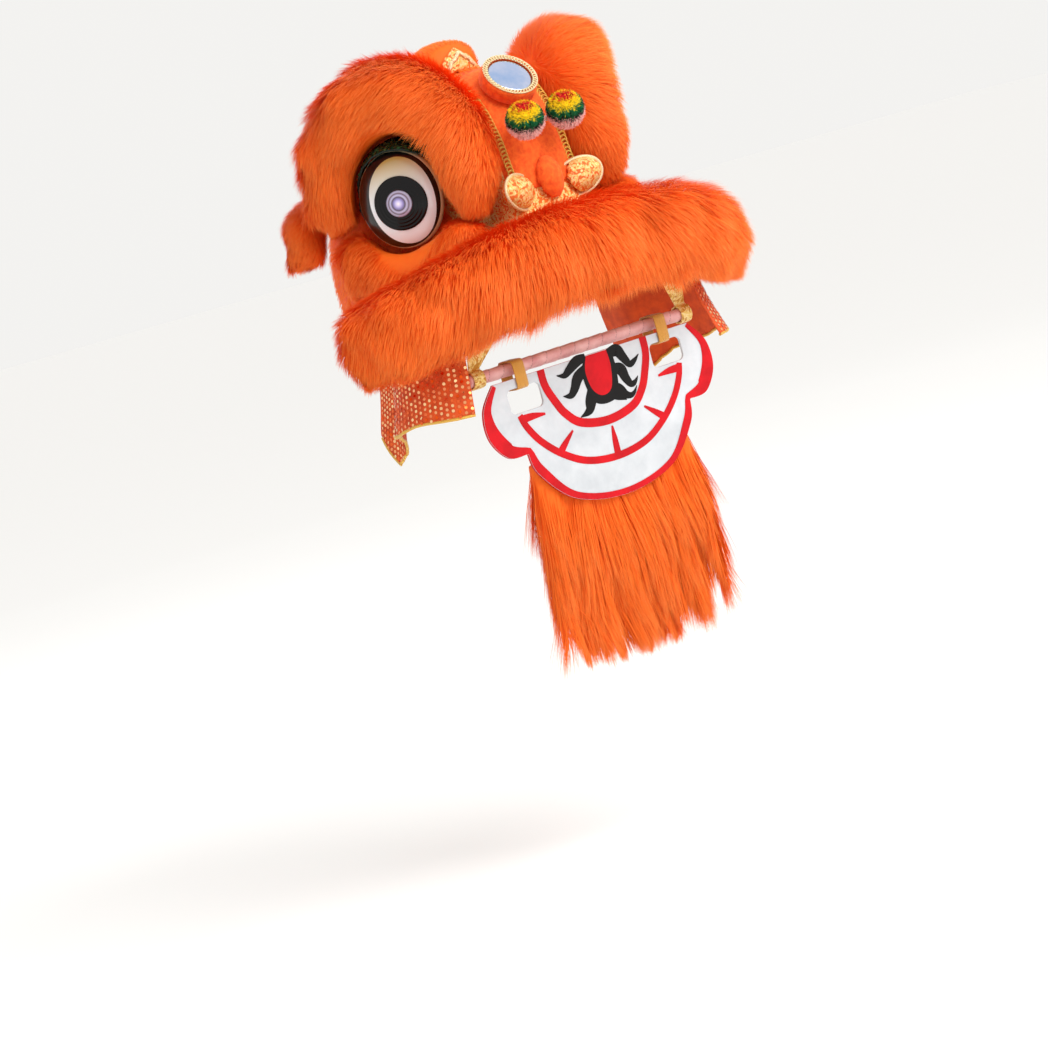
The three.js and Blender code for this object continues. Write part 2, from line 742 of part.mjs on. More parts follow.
function eyeSolid() {
  const plug = new THREE.CylinderGeometry(PLUG_RADIUS, PLUG_RADIUS, 80, 12).translate(0, 5, 0);
  const axle = new THREE.CylinderGeometry(AXLE_RADIUS, AXLE_RADIUS, 2 * AXLE_HALF, 8).rotateZ(Math.PI / 2);
  const core = CORE.transform(EYE_FRAME.clone().invert().toArray());
  return union([domeProfile(0), solid(plug), solid(axle)]).subtract(core);
}

function eyeLayer({ x, z, radius, from, to }) {
  const disc = new THREE.CylinderGeometry(radius, radius, 120, 14).translate(x, -60, z);
  return solid(disc).intersect(domeProfile(to)).subtract(domeProfile(from));
}

function lidSolid() {
  const grid = [];
  const rows = 2;
  const columns = 8;
  for (let r = 0; r <= rows; r += 1) {
    const rise = THREE.MathUtils.lerp(LID_FROM, LID_TO, r / rows);
    const row = [];
    for (let c = 0; c <= columns; c += 1) {
      const across = LID_WIDEST * ((2 * c) / columns - 1);
      const reach = LID_RADIUS * Math.cos(across);
      row.push(vec(LID_HALF_WIDTH * Math.sin(across), -reach * Math.cos(rise), reach * Math.sin(rise)));
    }
    grid.push(row);
  }
  const solids = [solid(sheet(grid, LID_THICK))];
  const holes = [];
  for (const side of [-1, 1]) {
    const middle = (side * (LID_EAR.inner + LID_EAR.outer)) / 2;
    const thick = LID_EAR.outer - LID_EAR.inner;
    const ear = new THREE.CylinderGeometry(LID_EAR.radius, LID_EAR.radius, thick, 10);
    const hole = new THREE.CylinderGeometry(LID_EAR.hole, LID_EAR.hole, 3 * thick, 6);
    solids.push(solid(ear.rotateZ(Math.PI / 2).translate(middle, 0, 0)));
    holes.push(solid(hole.rotateZ(Math.PI / 2).translate(middle, 0, 0)));
  }
  return union(solids).subtract(union(holes));
}

// Jaw, in the bar's own frame: the board stands in front of the bar and hangs below it

function boardShape() {
  const right = BOARD_OUTLINE.map(({ x, z }) => new THREE.Vector2(x, z));
  const other = BOARD_OUTLINE.slice(0, -1).map(({ x, z }) => new THREE.Vector2(-x, z)).reverse();
  const shape = new THREE.Shape();
  shape.moveTo(right[0].x, right[0].y);
  shape.splineThru(right.slice(1, 5));
  shape.splineThru([...right.slice(5), ...other.slice(0, 3)]);
  shape.splineThru(other.slice(3));
  shape.closePath();
  for (const side of [-1, 1]) {
    const left = side * SLOT.x - SLOT.half;
    shape.holes.push(roundedPath(left, left + 2 * SLOT.half, SLOT.bottom, SLOT.top, SLOT.corner));
  }
  return shape;
}

function roundedPath(left, right, bottom, top, corner) {
  const path = new THREE.Path();
  path.moveTo(left + corner, bottom);
  path.lineTo(right - corner, bottom);
  path.quadraticCurveTo(right, bottom, right, bottom + corner);
  path.lineTo(right, top - corner);
  path.quadraticCurveTo(right, top, right - corner, top);
  path.lineTo(left + corner, top);
  path.quadraticCurveTo(left, top, left, top - corner);
  path.lineTo(left, bottom + corner);
  path.quadraticCurveTo(left, bottom, left + corner, bottom);
  return path;
}

function boardSolid() {
  const flat = { depth: BOARD_THICK, bevelEnabled: false, curveSegments: 3 };
  const board = new THREE.ExtrudeGeometry(boardShape(), flat);
  return solid(board.rotateX(Math.PI / 2).translate(0, BOARD_BACK, BOARD_TOP));
}

function strapSolid() {
  const { width, thick, front, back, top, bottom, corner } = STRAP;
  const outline = roundedPath(front - thick, back + thick, bottom - thick, top + thick, corner + thick);
  const shape = new THREE.Shape(outline.getPoints(3));
  shape.holes.push(roundedPath(front, back, bottom, top, corner));
  const ring = new THREE.ExtrudeGeometry(shape, { depth: width, bevelEnabled: false, curveSegments: 3 });
  return solid(ring.applyMatrix4(ACROSS).translate(-SLOT.x - width / 2, 0, 0));
}

function beardSolid() {
  const behind = BOARD_BACK + GAP;
  const solids = [];
  const backing = new THREE.BoxGeometry(1.7 * BEARD_HALF, 14, 46);
  solids.push(solid(backing.translate(0, behind + 7, BEARD_TOP - 20)));
  for (let i = 0; i < BEARD_STRIPS; i += 1) {
    const share = (2 * i) / (BEARD_STRIPS - 1) - 1;
    const layer = i % 2;
    const x = share * 0.82 * BEARD_HALF;
    const length = BEARD_LENGTH * (1 - 0.22 * share * share) * (layer ? 1 : 0.9);
    const rings = [0, 0.35, 0.75, 1].map((down) => {
      const wide = 28 * (1 - 0.72 * down ** 3);
      const deep = 0.62 * wide;
      const middle = vec(
        x * (1 + 0.22 * down) + 5 * Math.sin(3 * i + 4 * down),
        behind + 13 + 11 * layer + BEARD_LEAN * length * down,
        BEARD_TOP - 8 - length * down
      );
      return [0, 1, 2, 3, 4].map((s) => {
        const angle = (2 * Math.PI * s) / 5;
        return middle.clone().add(vec(wide * Math.cos(angle), deep * Math.sin(angle), 0));
      });
    });
    solids.push(solid(loft(rings)));
  }
  const boardSide = solid(new THREE.BoxGeometry(600, 100, 600).translate(0, behind - 50, -200));
  return union(solids).subtract(boardSide);
}

// Cloth

function rimMiddle(azimuth) {
  return grown(rimPoint(deg(azimuth)).point, -WALL / 2);
}

function mouthSideSolid() {
  const grid = [];
  for (let r = 0; r <= MOUTH_SIDE.rows; r += 1) {
    const down = r / MOUTH_SIDE.rows;
    const row = [];
    for (let c = 0; c <= MOUTH_SIDE.columns; c += 1) {
      const along = c / MOUTH_SIDE.columns;
      const azimuth = THREE.MathUtils.lerp(MOUTH_SIDE.from, MOUTH_SIDE.to, along);
      const top = rimMiddle(azimuth).add(vec(0, 0, -3 * GAP));
      const x = -THREE.MathUtils.lerp(MOUTH_SIDE.inner, MOUTH_SIDE.outer, along);
      const foot = BAR_AT.clone().add(vec(x, 0, BAR_RADIUS + 2.2));
      row.push(top.lerp(foot, down ** 1.1));
    }
    grid.push(row);
  }
  const wide = MOUTH_SIDE.outer - MOUTH_SIDE.inner + 2;
  const bore = BAR_RADIUS + 2 * GAP;
  const loop = new THREE.CylinderGeometry(MOUTH_SIDE.loop, MOUTH_SIDE.loop, wide, 10);
  const hole = new THREE.CylinderGeometry(bore, bore, 3 * wide, 10);
  const at = BAR_AT.clone().add(vec(-(MOUTH_SIDE.inner + MOUTH_SIDE.outer) / 2, 0, 0));
  loop.rotateZ(Math.PI / 2).translate(at.x, at.y, at.z);
  hole.rotateZ(Math.PI / 2).translate(at.x, at.y, at.z);
  return solid(sheet(grid, CLOTH)).add(solid(loop)).subtract(solid(hole));
}

// Margin widens the flap past its edges, for the room that it needs beside the lip
function flapSolid(thickness, margin) {
  const grid = [];
  for (let r = 0; r <= FLAP.rows; r += 1) {
    const down = r / FLAP.rows;
    const row = [];
    for (let c = 0; c <= FLAP.columns; c += 1) {
      const along = c / FLAP.columns;
      const azimuth = THREE.MathUtils.lerp(FLAP.from - margin, FLAP.to + margin, along);
      const top = rimMiddle(azimuth).add(vec(0, 0, margin - 3 * GAP));
      const out = vec(top.x - HEART.x, top.y - HEART.y, 0).normalize();
      const hang = (readTable(FLAP_HEM, "along", along, "depth") + 3 * margin) * down;
      const fold = FLAP.wave * down * Math.sin(2 * Math.PI * FLAP.waves * along);
      row.push(top.addScaledVector(out, FLAP.flare * down * down + fold).add(vec(0, 0, -hang)));
    }
    grid.push(row);
  }
  return solid(sheet(grid, thickness));
}

// The whole head

const head = new THREE.Group();
head.name = "lion_head";

function placeGeometry(parent, name, geometry, colour) {
  const material = new THREE.MeshStandardMaterial({ name, ...COLOURS[colour] });
  const mesh = new THREE.Mesh(geometry, material);
  mesh.name = name;
  parent.add(mesh);
  return mesh;
}

function place(parent, name, manifold, colour) {
  return placeGeometry(parent, name, geometryOf(manifold), colour);
}

function placePair(parent, name, manifold, colour) {
  place(parent, `${name}_right`, manifold, colour);
  place(parent, `${name}_left`, manifold, colour).scale.x = -1;
}

placeGeometry(head, "shell", shellGeometry(), "plush");

const flap = flapSolid(CLOTH, 0);
const flapRoom = flapSolid(CLOTH + 6 * GAP, 1);
const brow = largestBody(browSolid());
const lip = lipSolid().subtract(flapRoom).subtract(flapRoom.scale([-1, 1, 1]));
const { horn, face } = hornSolids();
place(head, "lip", lip, "fur");
placePair(head, "brow", brow, "fur");
placePair(head, "cheek", cheekSolid(), "fur");
placePair(head, "ear", earSolid(), "fur");
place(head, "horn", horn, "fur");
place(head, "horn_face", face, "gold");

place(head, "forehead_panel", panelSolid(), "plush");
const mirrorProfile = [[0, 0.6], [MIRROR_RADIUS, 0.6], [MIRROR_RADIUS, 3.4], [0, 3.4]];
const bezelProfile = [
  [MIRROR_RADIUS + GAP, -16],
  [BEZEL_RADIUS - 5, -16],
  [BEZEL_RADIUS, 0],
  [BEZEL_RADIUS, 3],
  [BEZEL_RADIUS - 4, 6],
  [MIRROR_RADIUS + GAP, 4],
  [MIRROR_RADIUS + GAP, -16],
];
place(head, "mirror", mirrorTurned(mirrorProfile, 20).subtract(CORE_AND_PANEL), "mirror");
place(head, "mirror_bezel", mirrorTurned(bezelProfile, 16).subtract(CORE_AND_PANEL), "silver");
placePair(head, "pompom", pompomSolid(0), "yellow");
placePair(head, "pompom_stem", stemSolid(), "steel");
const wing = puff(NOSE_WING).subtract(CORE_AND_PANEL).subtract(puff(NOSE_BRIDGE, GAP));
placePair(head, "nose_wing", wing, "gold");
place(head, "nose_bridge", puff(NOSE_BRIDGE).subtract(CORE_AND_PANEL), "plush");

for (const side of ["right", "left"]) {
  const eye = new THREE.Group();
  eye.position.copy(EYE_CENTRE);
  eye.rotation.z = EYE_TURN;
  place(eye, `eye_${side}`, eyeSolid(), "white");
  place(eye, `iris_${side}`, eyeLayer(IRIS), "black");
  place(eye, `pupil_${side}`, eyeLayer(PUPIL), "glass");
  place(eye, `eyelid_${side}`, lidSolid(), "green");
  const half = new THREE.Group();
  half.scale.x = side === "right" ? 1 : -1;
  half.add(eye);
  head.add(half);
}

const bar = new THREE.CylinderGeometry(BAR_RADIUS, BAR_RADIUS, 2 * BAR_HALF, 14).rotateZ(Math.PI / 2);
place(head, "jaw_bar", solid(bar.translate(BAR_AT.x, BAR_AT.y, BAR_AT.z)), "pink");
placePair(head, "mouth_side", mouthSideSolid(), "gold");
placePair(head, "side_flap", flap, "sequin");

const jaw = new THREE.Group();
jaw.position.copy(BAR_AT);
place(jaw, "jaw_board", boardSolid(), "white");
placePair(jaw, "strap", strapSolid(), "amber");
place(jaw, "beard", beardSolid(), "fur");
head.add(jaw);

export default head;
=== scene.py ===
# %% [markdown]
# A lion dance head in long orange fur.
# The head is a hollow papier-mache dome, worn from below. Padded rolls of fur are sewn on it for the lip,
# brows, cheeks and ears, and a painted board swings under the lip as the jaw.
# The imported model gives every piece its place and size, and this lesson dresses it piece by piece.

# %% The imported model
import json
import math

import bmesh
import bpy
import numpy as np
from mathutils import Matrix, Vector, kdtree
from mathutils.bvhtree import BVHTree


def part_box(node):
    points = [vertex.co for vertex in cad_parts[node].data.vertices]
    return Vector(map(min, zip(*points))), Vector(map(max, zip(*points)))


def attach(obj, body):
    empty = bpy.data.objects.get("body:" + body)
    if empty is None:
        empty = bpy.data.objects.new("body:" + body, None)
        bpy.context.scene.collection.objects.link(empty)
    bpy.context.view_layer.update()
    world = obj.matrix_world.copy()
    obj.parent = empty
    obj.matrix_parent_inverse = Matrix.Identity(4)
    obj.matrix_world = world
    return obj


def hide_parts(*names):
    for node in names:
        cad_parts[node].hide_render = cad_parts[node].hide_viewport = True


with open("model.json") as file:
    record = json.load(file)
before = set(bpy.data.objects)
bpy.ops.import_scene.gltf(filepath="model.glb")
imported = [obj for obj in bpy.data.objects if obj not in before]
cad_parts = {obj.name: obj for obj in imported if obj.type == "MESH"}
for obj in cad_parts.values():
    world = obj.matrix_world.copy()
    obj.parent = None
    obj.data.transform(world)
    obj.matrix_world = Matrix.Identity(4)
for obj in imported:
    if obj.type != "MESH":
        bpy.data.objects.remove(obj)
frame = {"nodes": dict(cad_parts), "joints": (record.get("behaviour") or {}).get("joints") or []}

MM = 0.001
nodes = frame["nodes"]
joints = {joint["name"]: joint for joint in frame["joints"]}
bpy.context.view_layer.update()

# %% [markdown]
# The camera comes first, because everything is judged through it.
# It stands to the lion's right, a little above its chin, four metres away, and is rolled so that the head
# tips to one side. It is turned until the middle of the face falls on the right place in the picture, which
# needs no lens shift.

# %% Camera
PICTURE_SIDE = 1048
FACE_MIDDLE = Vector((0, -110, 100)) * MM
FACE_PIXEL = (529, 253.5)
CAMERA_TURN = math.radians(-35)
CAMERA_RISE = math.radians(2)
CAMERA_ROLL = math.radians(15)
CAMERA_DISTANCE = 4.0
FOCAL_PIXELS = 2940
SENSOR_MM = 36


def make_camera():
    level = math.cos(CAMERA_RISE)
    back = Vector((math.sin(CAMERA_TURN) * level, -math.cos(CAMERA_TURN) * level, math.sin(CAMERA_RISE)))
    aside = (FACE_PIXEL[0] - PICTURE_SIDE / 2) / FOCAL_PIXELS
    above = (PICTURE_SIDE / 2 - FACE_PIXEL[1]) / FOCAL_PIXELS
    ahead = Vector((0, 0, -1))
    upright = (-back).to_track_quat("-Z", "Y")
    rolled = upright @ Matrix.Rotation(-CAMERA_ROLL, 3, "Z").to_quaternion()
    data = bpy.data.cameras.new("camera")
    data.sensor_width = SENSOR_MM
    data.lens = SENSOR_MM * FOCAL_PIXELS / PICTURE_SIDE
    camera = bpy.data.objects.new("camera", data)
    camera.location = FACE_MIDDLE + back * CAMERA_DISTANCE
    camera.rotation_mode = "QUATERNION"
    camera.rotation_quaternion = rolled @ Vector((aside, above, -1)).rotation_difference(ahead)
    bpy.context.scene.collection.objects.link(camera)
    bpy.context.scene.camera = camera
    return camera


camera = make_camera()
print("camera at", [round(x, 2) for x in camera.location], "lens", round(camera.data.lens), "mm")

# %% [markdown]
# The stage is a wide pale floor under a pale sky. The far floor glows a little, so no horizon shows.
# A large soft lamp in front, to the lion's left, shapes the fur, and a weaker one behind lights its edges.
# Light may bounce often, because it has to find its way in between the strands.

# %% Floor and light
FLOOR_LEVEL = -0.72
FLOOR_HALF = 30.0
SKY_LIGHT = 0.9
HAZE = 0.16
LAMPS = [
    {"name": "key", "at": (0.9, -2.7, 2.3), "size": 2.2, "watts": 105},
    {"name": "back", "at": (0.8, 2.6, 2.4), "size": 1.8, "watts": 40},
]


def haze(tree):
    """The far floor glows a little, until it is as bright as the sky and the horizon is lost."""
    place = tree.nodes.new("ShaderNodeTexCoord").outputs["Object"]
    far = tree.nodes.new("ShaderNodeVectorMath")
    far.operation = "LENGTH"
    tree.links.new(place, far.inputs[0])
    glow = tree.nodes.new("ShaderNodeMapRange")
    for label, value in zip(("From Min", "From Max", "To Min", "To Max"), (1.0, 5.0, 0.0, SKY_LIGHT * HAZE)):
        glow.inputs[label].default_value = value
    tree.links.new(far.outputs["Value"], glow.inputs["Value"])
    shader = tree.nodes["Principled BSDF"]
    shader.inputs["Emission Color"].default_value = (1, 0.99, 0.97, 1)
    tree.links.new(glow.outputs["Result"], shader.inputs["Emission Strength"])


def make_stage():
    scene = bpy.context.scene
    scene.view_settings.view_transform = "Standard"
    scene.cycles.diffuse_bounces = 8
    ground = bmesh.new()
    bmesh.ops.create_grid(ground, x_segments=1, y_segments=1, size=FLOOR_HALF)
    bmesh.ops.translate(ground, verts=ground.verts, vec=(0, 0, FLOOR_LEVEL))
    mesh = bpy.data.meshes.new("floor")
    ground.to_mesh(mesh)
    ground.free()
    floor = bpy.data.objects.new("floor", mesh)
    paint = bpy.data.materials.new("pale floor")
    paint.use_nodes = True
    paint.node_tree.nodes["Principled BSDF"].inputs["Base Color"].default_value = (0.84, 0.835, 0.825, 1)
    paint.node_tree.nodes["Principled BSDF"].inputs["Roughness"].default_value = 0.9
    haze(paint.node_tree)
    mesh.materials.append(paint)
    scene.collection.objects.link(floor)
    world = bpy.data.worlds.new("sky")
    world.use_nodes = True
    world.node_tree.nodes["Background"].inputs["Color"].default_value = (1, 0.99, 0.97, 1)
    world.node_tree.nodes["Background"].inputs["Strength"].default_value = SKY_LIGHT
    scene.world = world
    for lamp in LAMPS:
        data = bpy.data.lights.new(lamp["name"], "AREA")
        data.size = lamp["size"]
        data.energy = lamp["watts"]
        light = bpy.data.objects.new(lamp["name"], data)
        light.location = lamp["at"]
        light.rotation_euler = (FACE_MIDDLE - light.location).to_track_quat("-Z", "Y").to_euler()
        scene.collection.objects.link(light)


make_stage()
print("lamps:", [lamp["name"] for lamp in LAMPS])

# %% [markdown]
# Some small helpers are used all through the lesson.
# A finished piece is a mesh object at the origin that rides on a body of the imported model. A soft piece
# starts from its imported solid. Under fur the solid is only remeshed and smoothed, because the fur hides it.
# Where stuffed cloth shows, Blender's Cloth blows the skin up a little, as stuffing does.

# %% Helpers for pieces
SIDES = {"right": 1, "left": -1}
STUFFING_SLACK = 0.4 * MM
STUFFING_CAP = 2.5 * MM
STUFFING_PRESSURE = 4
STUFFING_FRAMES = 20


def linked(name, mesh, material):
    piece = bpy.data.objects.new(name, mesh)
    bpy.context.scene.collection.objects.link(piece)
    mesh.materials.append(material)
    mesh.polygons.foreach_set("use_smooth", np.ones(len(mesh.polygons), bool))
    return piece


def from_bmesh(name, shape, material):
    mesh = bpy.data.meshes.new(name)
    shape.to_mesh(mesh)
    shape.free()
    return linked(name, mesh, material)


def present(piece, body, slot, *stands_for):
    """Hands a finished piece over: the body it rides on and the nodes it stands for. Its material slot is not
    used.
    """
    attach(piece, body)
    if stands_for:
        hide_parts(*stands_for)
    print(f"{piece.name}: {len(piece.data.polygons)} faces, rides on {body}")
    return piece


def merged_copy(node):
    shape = bmesh.new()
    shape.from_mesh(nodes[node].data)
    bmesh.ops.remove_doubles(shape, verts=shape.verts, dist=0.02 * MM)
    return shape


def worked(shape, *modifiers):
    """The mesh that a bmesh becomes after some modifiers, each a kind and its settings."""
    mesh = bpy.data.meshes.new("work")
    shape.to_mesh(mesh)
    shape.free()
    holder = bpy.data.objects.new("work", mesh)
    bpy.context.scene.collection.objects.link(holder)
    for kind, settings in modifiers:
        modifier = holder.modifiers.new(kind.lower(), kind)
        for key, value in settings.items():
            setattr(modifier, key, value)
    seen = holder.evaluated_get(bpy.context.evaluated_depsgraph_get())
    made = bpy.data.meshes.new_from_object(seen)
    bpy.data.objects.remove(holder)
    bpy.data.meshes.remove(mesh)
    return made


def edge_bevel(width, degrees):
    """The settings of a small round bevel on edges sharper than an angle."""
    sharp = {"limit_method": "ANGLE", "angle_limit": math.radians(degrees)}
    return "BEVEL", {"width": width, "segments": 2, **sharp}


def softened(node, voxel, rounds, sink=0.0):
    """A node's form with its edges rounded: an even remesh, smoothed, and then drawn in or let out."""
    return worked(
        merged_copy(node),
        ("REMESH", {"mode": "VOXEL", "voxel_size": voxel}),
        ("SMOOTH", {"factor": 0.5, "iterations": rounds}),
        ("DISPLACE", {"strength": -sink, "mid_level": 0.0}),
    )


def fur_body(node, voxel, rounds, sink=0.0):
    """The round body under fur: smoothed, remeshed wider so that thin tips drop off, and smoothed again."""
    return worked(
        merged_copy(node),
        ("REMESH", {"mode": "VOXEL", "voxel_size": voxel}),
        ("SMOOTH", {"factor": 0.5, "iterations": rounds}),
        ("REMESH", {"mode": "VOXEL", "voxel_size": 1.5 * voxel}),
        ("SMOOTH", {"factor": 0.5, "iterations": rounds // 3}),
        ("DISPLACE", {"strength": -sink, "mid_level": 0.0}),
    )


def stuffed(node, voxel, rounds):
    """A node's form as a stuffed skin: drawn in a little, then blown up by Cloth, no further than a cap."""
    skin = softened(node, voxel, rounds, STUFFING_SLACK)
    scene = bpy.context.scene
    holder = bpy.data.objects.new("stuffing", skin)
    scene.collection.objects.link(holder)
    cloth = holder.modifiers.new("cloth", "CLOTH").settings
    cloth.use_pressure = True
    cloth.uniform_pressure_force = STUFFING_PRESSURE
    cloth.effector_weights.gravity = 0
    for number in range(1, STUFFING_FRAMES + 1):
        scene.frame_set(number)
    full = holder.evaluated_get(bpy.context.evaluated_depsgraph_get()).data
    moves = [swollen.co - vertex.co for vertex, swollen in zip(skin.vertices, full.vertices)]
    for vertex, move in zip(skin.vertices, moves):
        vertex.co += move * min(1.0, STUFFING_CAP / max(move.length, 1e-9))
    scene.frame_set(1)
    print(f"{node}: stuffing swelled by up to {max(move.length for move in moves) / MM:.1f} mm")
    bpy.data.objects.remove(holder)
    shape = bmesh.new()
    shape.from_mesh(skin)
    return worked(shape, ("SUBSURF", {"levels": 1, "render_levels": 1}))


def turned(profile, steps):
    """A round piece about Z from (radius, height) points, as on a lathe."""
    shape = bmesh.new()
    row = [shape.verts.new((radius, 0, height)) for radius, height in profile]
    edges = [shape.edges.new(pair) for pair in zip(row, row[1:])]
    bmesh.ops.spin(
        shape, geom=row + edges, cent=(0, 0, 0), axis=(0, 0, 1),
        angle=2 * math.pi, steps=steps, use_merge=True,
    )
    bmesh.ops.remove_doubles(shape, verts=shape.verts, dist=0.001 * MM)
    bmesh.ops.recalc_face_normals(shape, faces=shape.faces)
    return shape


def tube(name, points, radius, material, sides=2, closed=False):
    """A round cord or wire along points."""
    data = bpy.data.curves.new(name, "CURVE")
    data.dimensions = "3D"
    data.bevel_depth = radius
    data.bevel_resolution = sides
    data.use_fill_caps = True
    line = data.splines.new("POLY")
    line.points.add(len(points) - 1)
    for place, point in zip(line.points, points):
        place.co = (*point, 1)
    line.use_cyclic_u = closed
    holder = bpy.data.objects.new(name, data)
    mesh = bpy.data.meshes.new_from_object(holder)
    bpy.data.objects.remove(holder)
    mesh.name = name
    return linked(name, mesh, material)


def tree_of(*names):
    """One search tree over the faces of some nodes."""
    points, faces = [], []
    for name in names:
        mesh = nodes[name].data
        shift = len(points)
        points += [vertex.co.copy() for vertex in mesh.vertices]
        faces += [[shift + i for i in face.vertices] for face in mesh.polygons]
    return BVHTree.FromPolygons(points, faces)


def unit(rows):
    """Rows of numbers as directions of length one."""
    return rows / np.maximum(np.linalg.norm(rows, axis=-1, keepdims=True), 1e-9)


print("helpers are ready")

# %% [markdown]
# Finishes share a few effects, so each effect is one shader node group that a material places with its own
# values: a mottle that lightens and darkens a surface, and a weave of crossing threads.

# %% Shader helpers
def srgb(red, green, blue):
    """A colour as it looks on a display, as the linear colour that shaders use."""
    def linear(value):
        share = value / 255
        return share / 12.92 if share <= 0.04045 else ((share + 0.055) / 1.055) ** 2.4
    return (linear(red), linear(green), linear(blue), 1)


def group_with(name, inputs, outputs):
    group = bpy.data.node_groups.new(name, "ShaderNodeTree")
    for label, kind, value in inputs:
        socket = group.interface.new_socket(label, in_out="INPUT", socket_type=kind)
        if value is not None:
            socket.default_value = value
    for label, kind in outputs:
        group.interface.new_socket(label, in_out="OUTPUT", socket_type=kind)
    return group, group.nodes.new("NodeGroupInput"), group.nodes.new("NodeGroupOutput")


class Finish:
    """A material whose nodes are added one after another."""

    def __init__(self, name, roughness=0.7, **sockets):
        self.material = bpy.data.materials.new(name)
        self.material.use_nodes = True
        self.tree = self.material.node_tree
        self.shader = self.tree.nodes["Principled BSDF"]
        self.shader.inputs["Roughness"].default_value = roughness
        for label, value in sockets.items():
            self.shader.inputs[label.replace("_", " ")].default_value = value

    def add(self, kind, links=None, **settings):
        node = self.tree.nodes.new(kind)
        for key, value in settings.items():
            setattr(node, key, value)
        for label, source in (links or {}).items():
            self.put(node.inputs[label], source)
        return node

    def put(self, socket, source):
        if isinstance(source, bpy.types.NodeSocket):
            self.tree.links.new(source, socket)
        else:
            socket.default_value = source

    def feed(self, **sources):
        for label, source in sources.items():
            self.put(self.shader.inputs[label.replace("_", " ")], source)

    def place(self):
        return self.add("ShaderNodeTexCoord").outputs["Object"]

    def effect(self, group, **links):
        node = self.tree.nodes.new("ShaderNodeGroup")
        node.node_tree = group
        for label, source in links.items():
            self.put(node.inputs[label.replace("_", " ")], source)
        return node.outputs

    def math(self, operation, first, second=0.0):
        return self.add("ShaderNodeMath", {0: first, 1: second}, operation=operation).outputs[0]

    def blend(self, share, first, second, way="MIX"):
        node = self.add("ShaderNodeMix", data_type="RGBA", blend_type=way)
        self.put(node.inputs[0], share)
        self.put(node.inputs[6], first)
        self.put(node.inputs[7], second)
        return node.outputs[2]

    def ramp(self, share, *stops, steps="LINEAR"):
        node = self.add("ShaderNodeValToRGB", {"Fac": share})
        node.color_ramp.interpolation = steps
        while len(node.color_ramp.elements) < len(stops):
            node.color_ramp.elements.new(1)
        for element, (at, colour) in zip(node.color_ramp.elements, stops):
            element.position = at
            element.color = colour
        return node.outputs["Color"]

    def bump(self, height, strength, depth):
        node = self.add("ShaderNodeBump", {"Height": height, "Strength": strength, "Distance": depth})
        self.feed(Normal=node.outputs["Normal"])


def mottle_group():
    group, given, made = group_with(
        "Mottle",
        [("Vector", "NodeSocketVector", None), ("Scale", "NodeSocketFloat", 40.0)],
        [("Value", "NodeSocketFloat")],
    )
    noise = group.nodes.new("ShaderNodeTexNoise")
    noise.inputs["Detail"].default_value = 4
    noise.inputs["Roughness"].default_value = 0.6
    group.links.new(given.outputs["Vector"], noise.inputs["Vector"])
    group.links.new(given.outputs["Scale"], noise.inputs["Scale"])
    group.links.new(noise.outputs["Fac"], made.inputs["Value"])
    return group


def weave_group():
    group, given, made = group_with(
        "Weave",
        [("Vector", "NodeSocketVector", None), ("Scale", "NodeSocketFloat", 300.0)],
        [("Height", "NodeSocketFloat")],
    )
    threads = []
    for way in ("X", "Z"):
        wave = group.nodes.new("ShaderNodeTexWave")
        wave.bands_direction = way
        wave.inputs["Distortion"].default_value = 0.6
        wave.inputs["Detail Scale"].default_value = 2.0
        group.links.new(given.outputs["Vector"], wave.inputs["Vector"])
        group.links.new(given.outputs["Scale"], wave.inputs["Scale"])
        threads.append(wave.outputs["Fac"])
    over = group.nodes.new("ShaderNodeMath")
    over.operation = "MAXIMUM"
    group.links.new(threads[0], over.inputs[0])
    group.links.new(threads[1], over.inputs[1])
    group.links.new(over.outputs[0], made.inputs["Height"])
    return group


MOTTLE = mottle_group()
WEAVE = weave_group()
print("shader groups:", MOTTLE.name, WEAVE.name)

# %% [markdown]
# Fur is coloured from its own map: across the map are a dozen tones, up the map is the way from root to tip.
# Every strand of one tone shares one strip of the map, so even tens of thousands of strands need only a
# small picture when the model is baked. Wool for the pompoms uses the same idea, with colours for tones.

# %% Fur and wool finishes
TONES = 12
FUR_MAP = "OFBake"


def strand_finish(name):
    finish = Finish(name, roughness=0.62, Specular_IOR_Level=0.2)
    spot = finish.add("ShaderNodeUVMap", uv_map=FUR_MAP).outputs["UV"]
    parts = finish.add("ShaderNodeSeparateXYZ", {"Vector": spot}).outputs
    tone = finish.math("FLOOR", finish.math("MULTIPLY", parts["X"], float(TONES)))
    return finish, finish.math("DIVIDE", tone, TONES - 1.0), parts["Y"]


def fur_finish():
    finish, tone, along = strand_finish("orange fur")
    # Darker at the root and paler at the tip: painted shade deep in the pile and painted light on the outer
    # tips.
    length = finish.ramp(
        along,
        (0.0, srgb(255, 104, 22)), (0.35, srgb(255, 114, 26)),
        (0.7, srgb(255, 124, 38)), (1.0, srgb(255, 148, 72)),
    )
    shade = finish.ramp(tone, (0.0, srgb(236, 222, 212)), (1.0, srgb(255, 255, 255)))
    finish.feed(Base_Color=finish.blend(1.0, length, shade, "MULTIPLY"))
    return finish.material


WOOL = [srgb(214, 16, 20), srgb(252, 214, 20), srgb(14, 104, 58), srgb(16, 20, 16), srgb(246, 196, 190)]


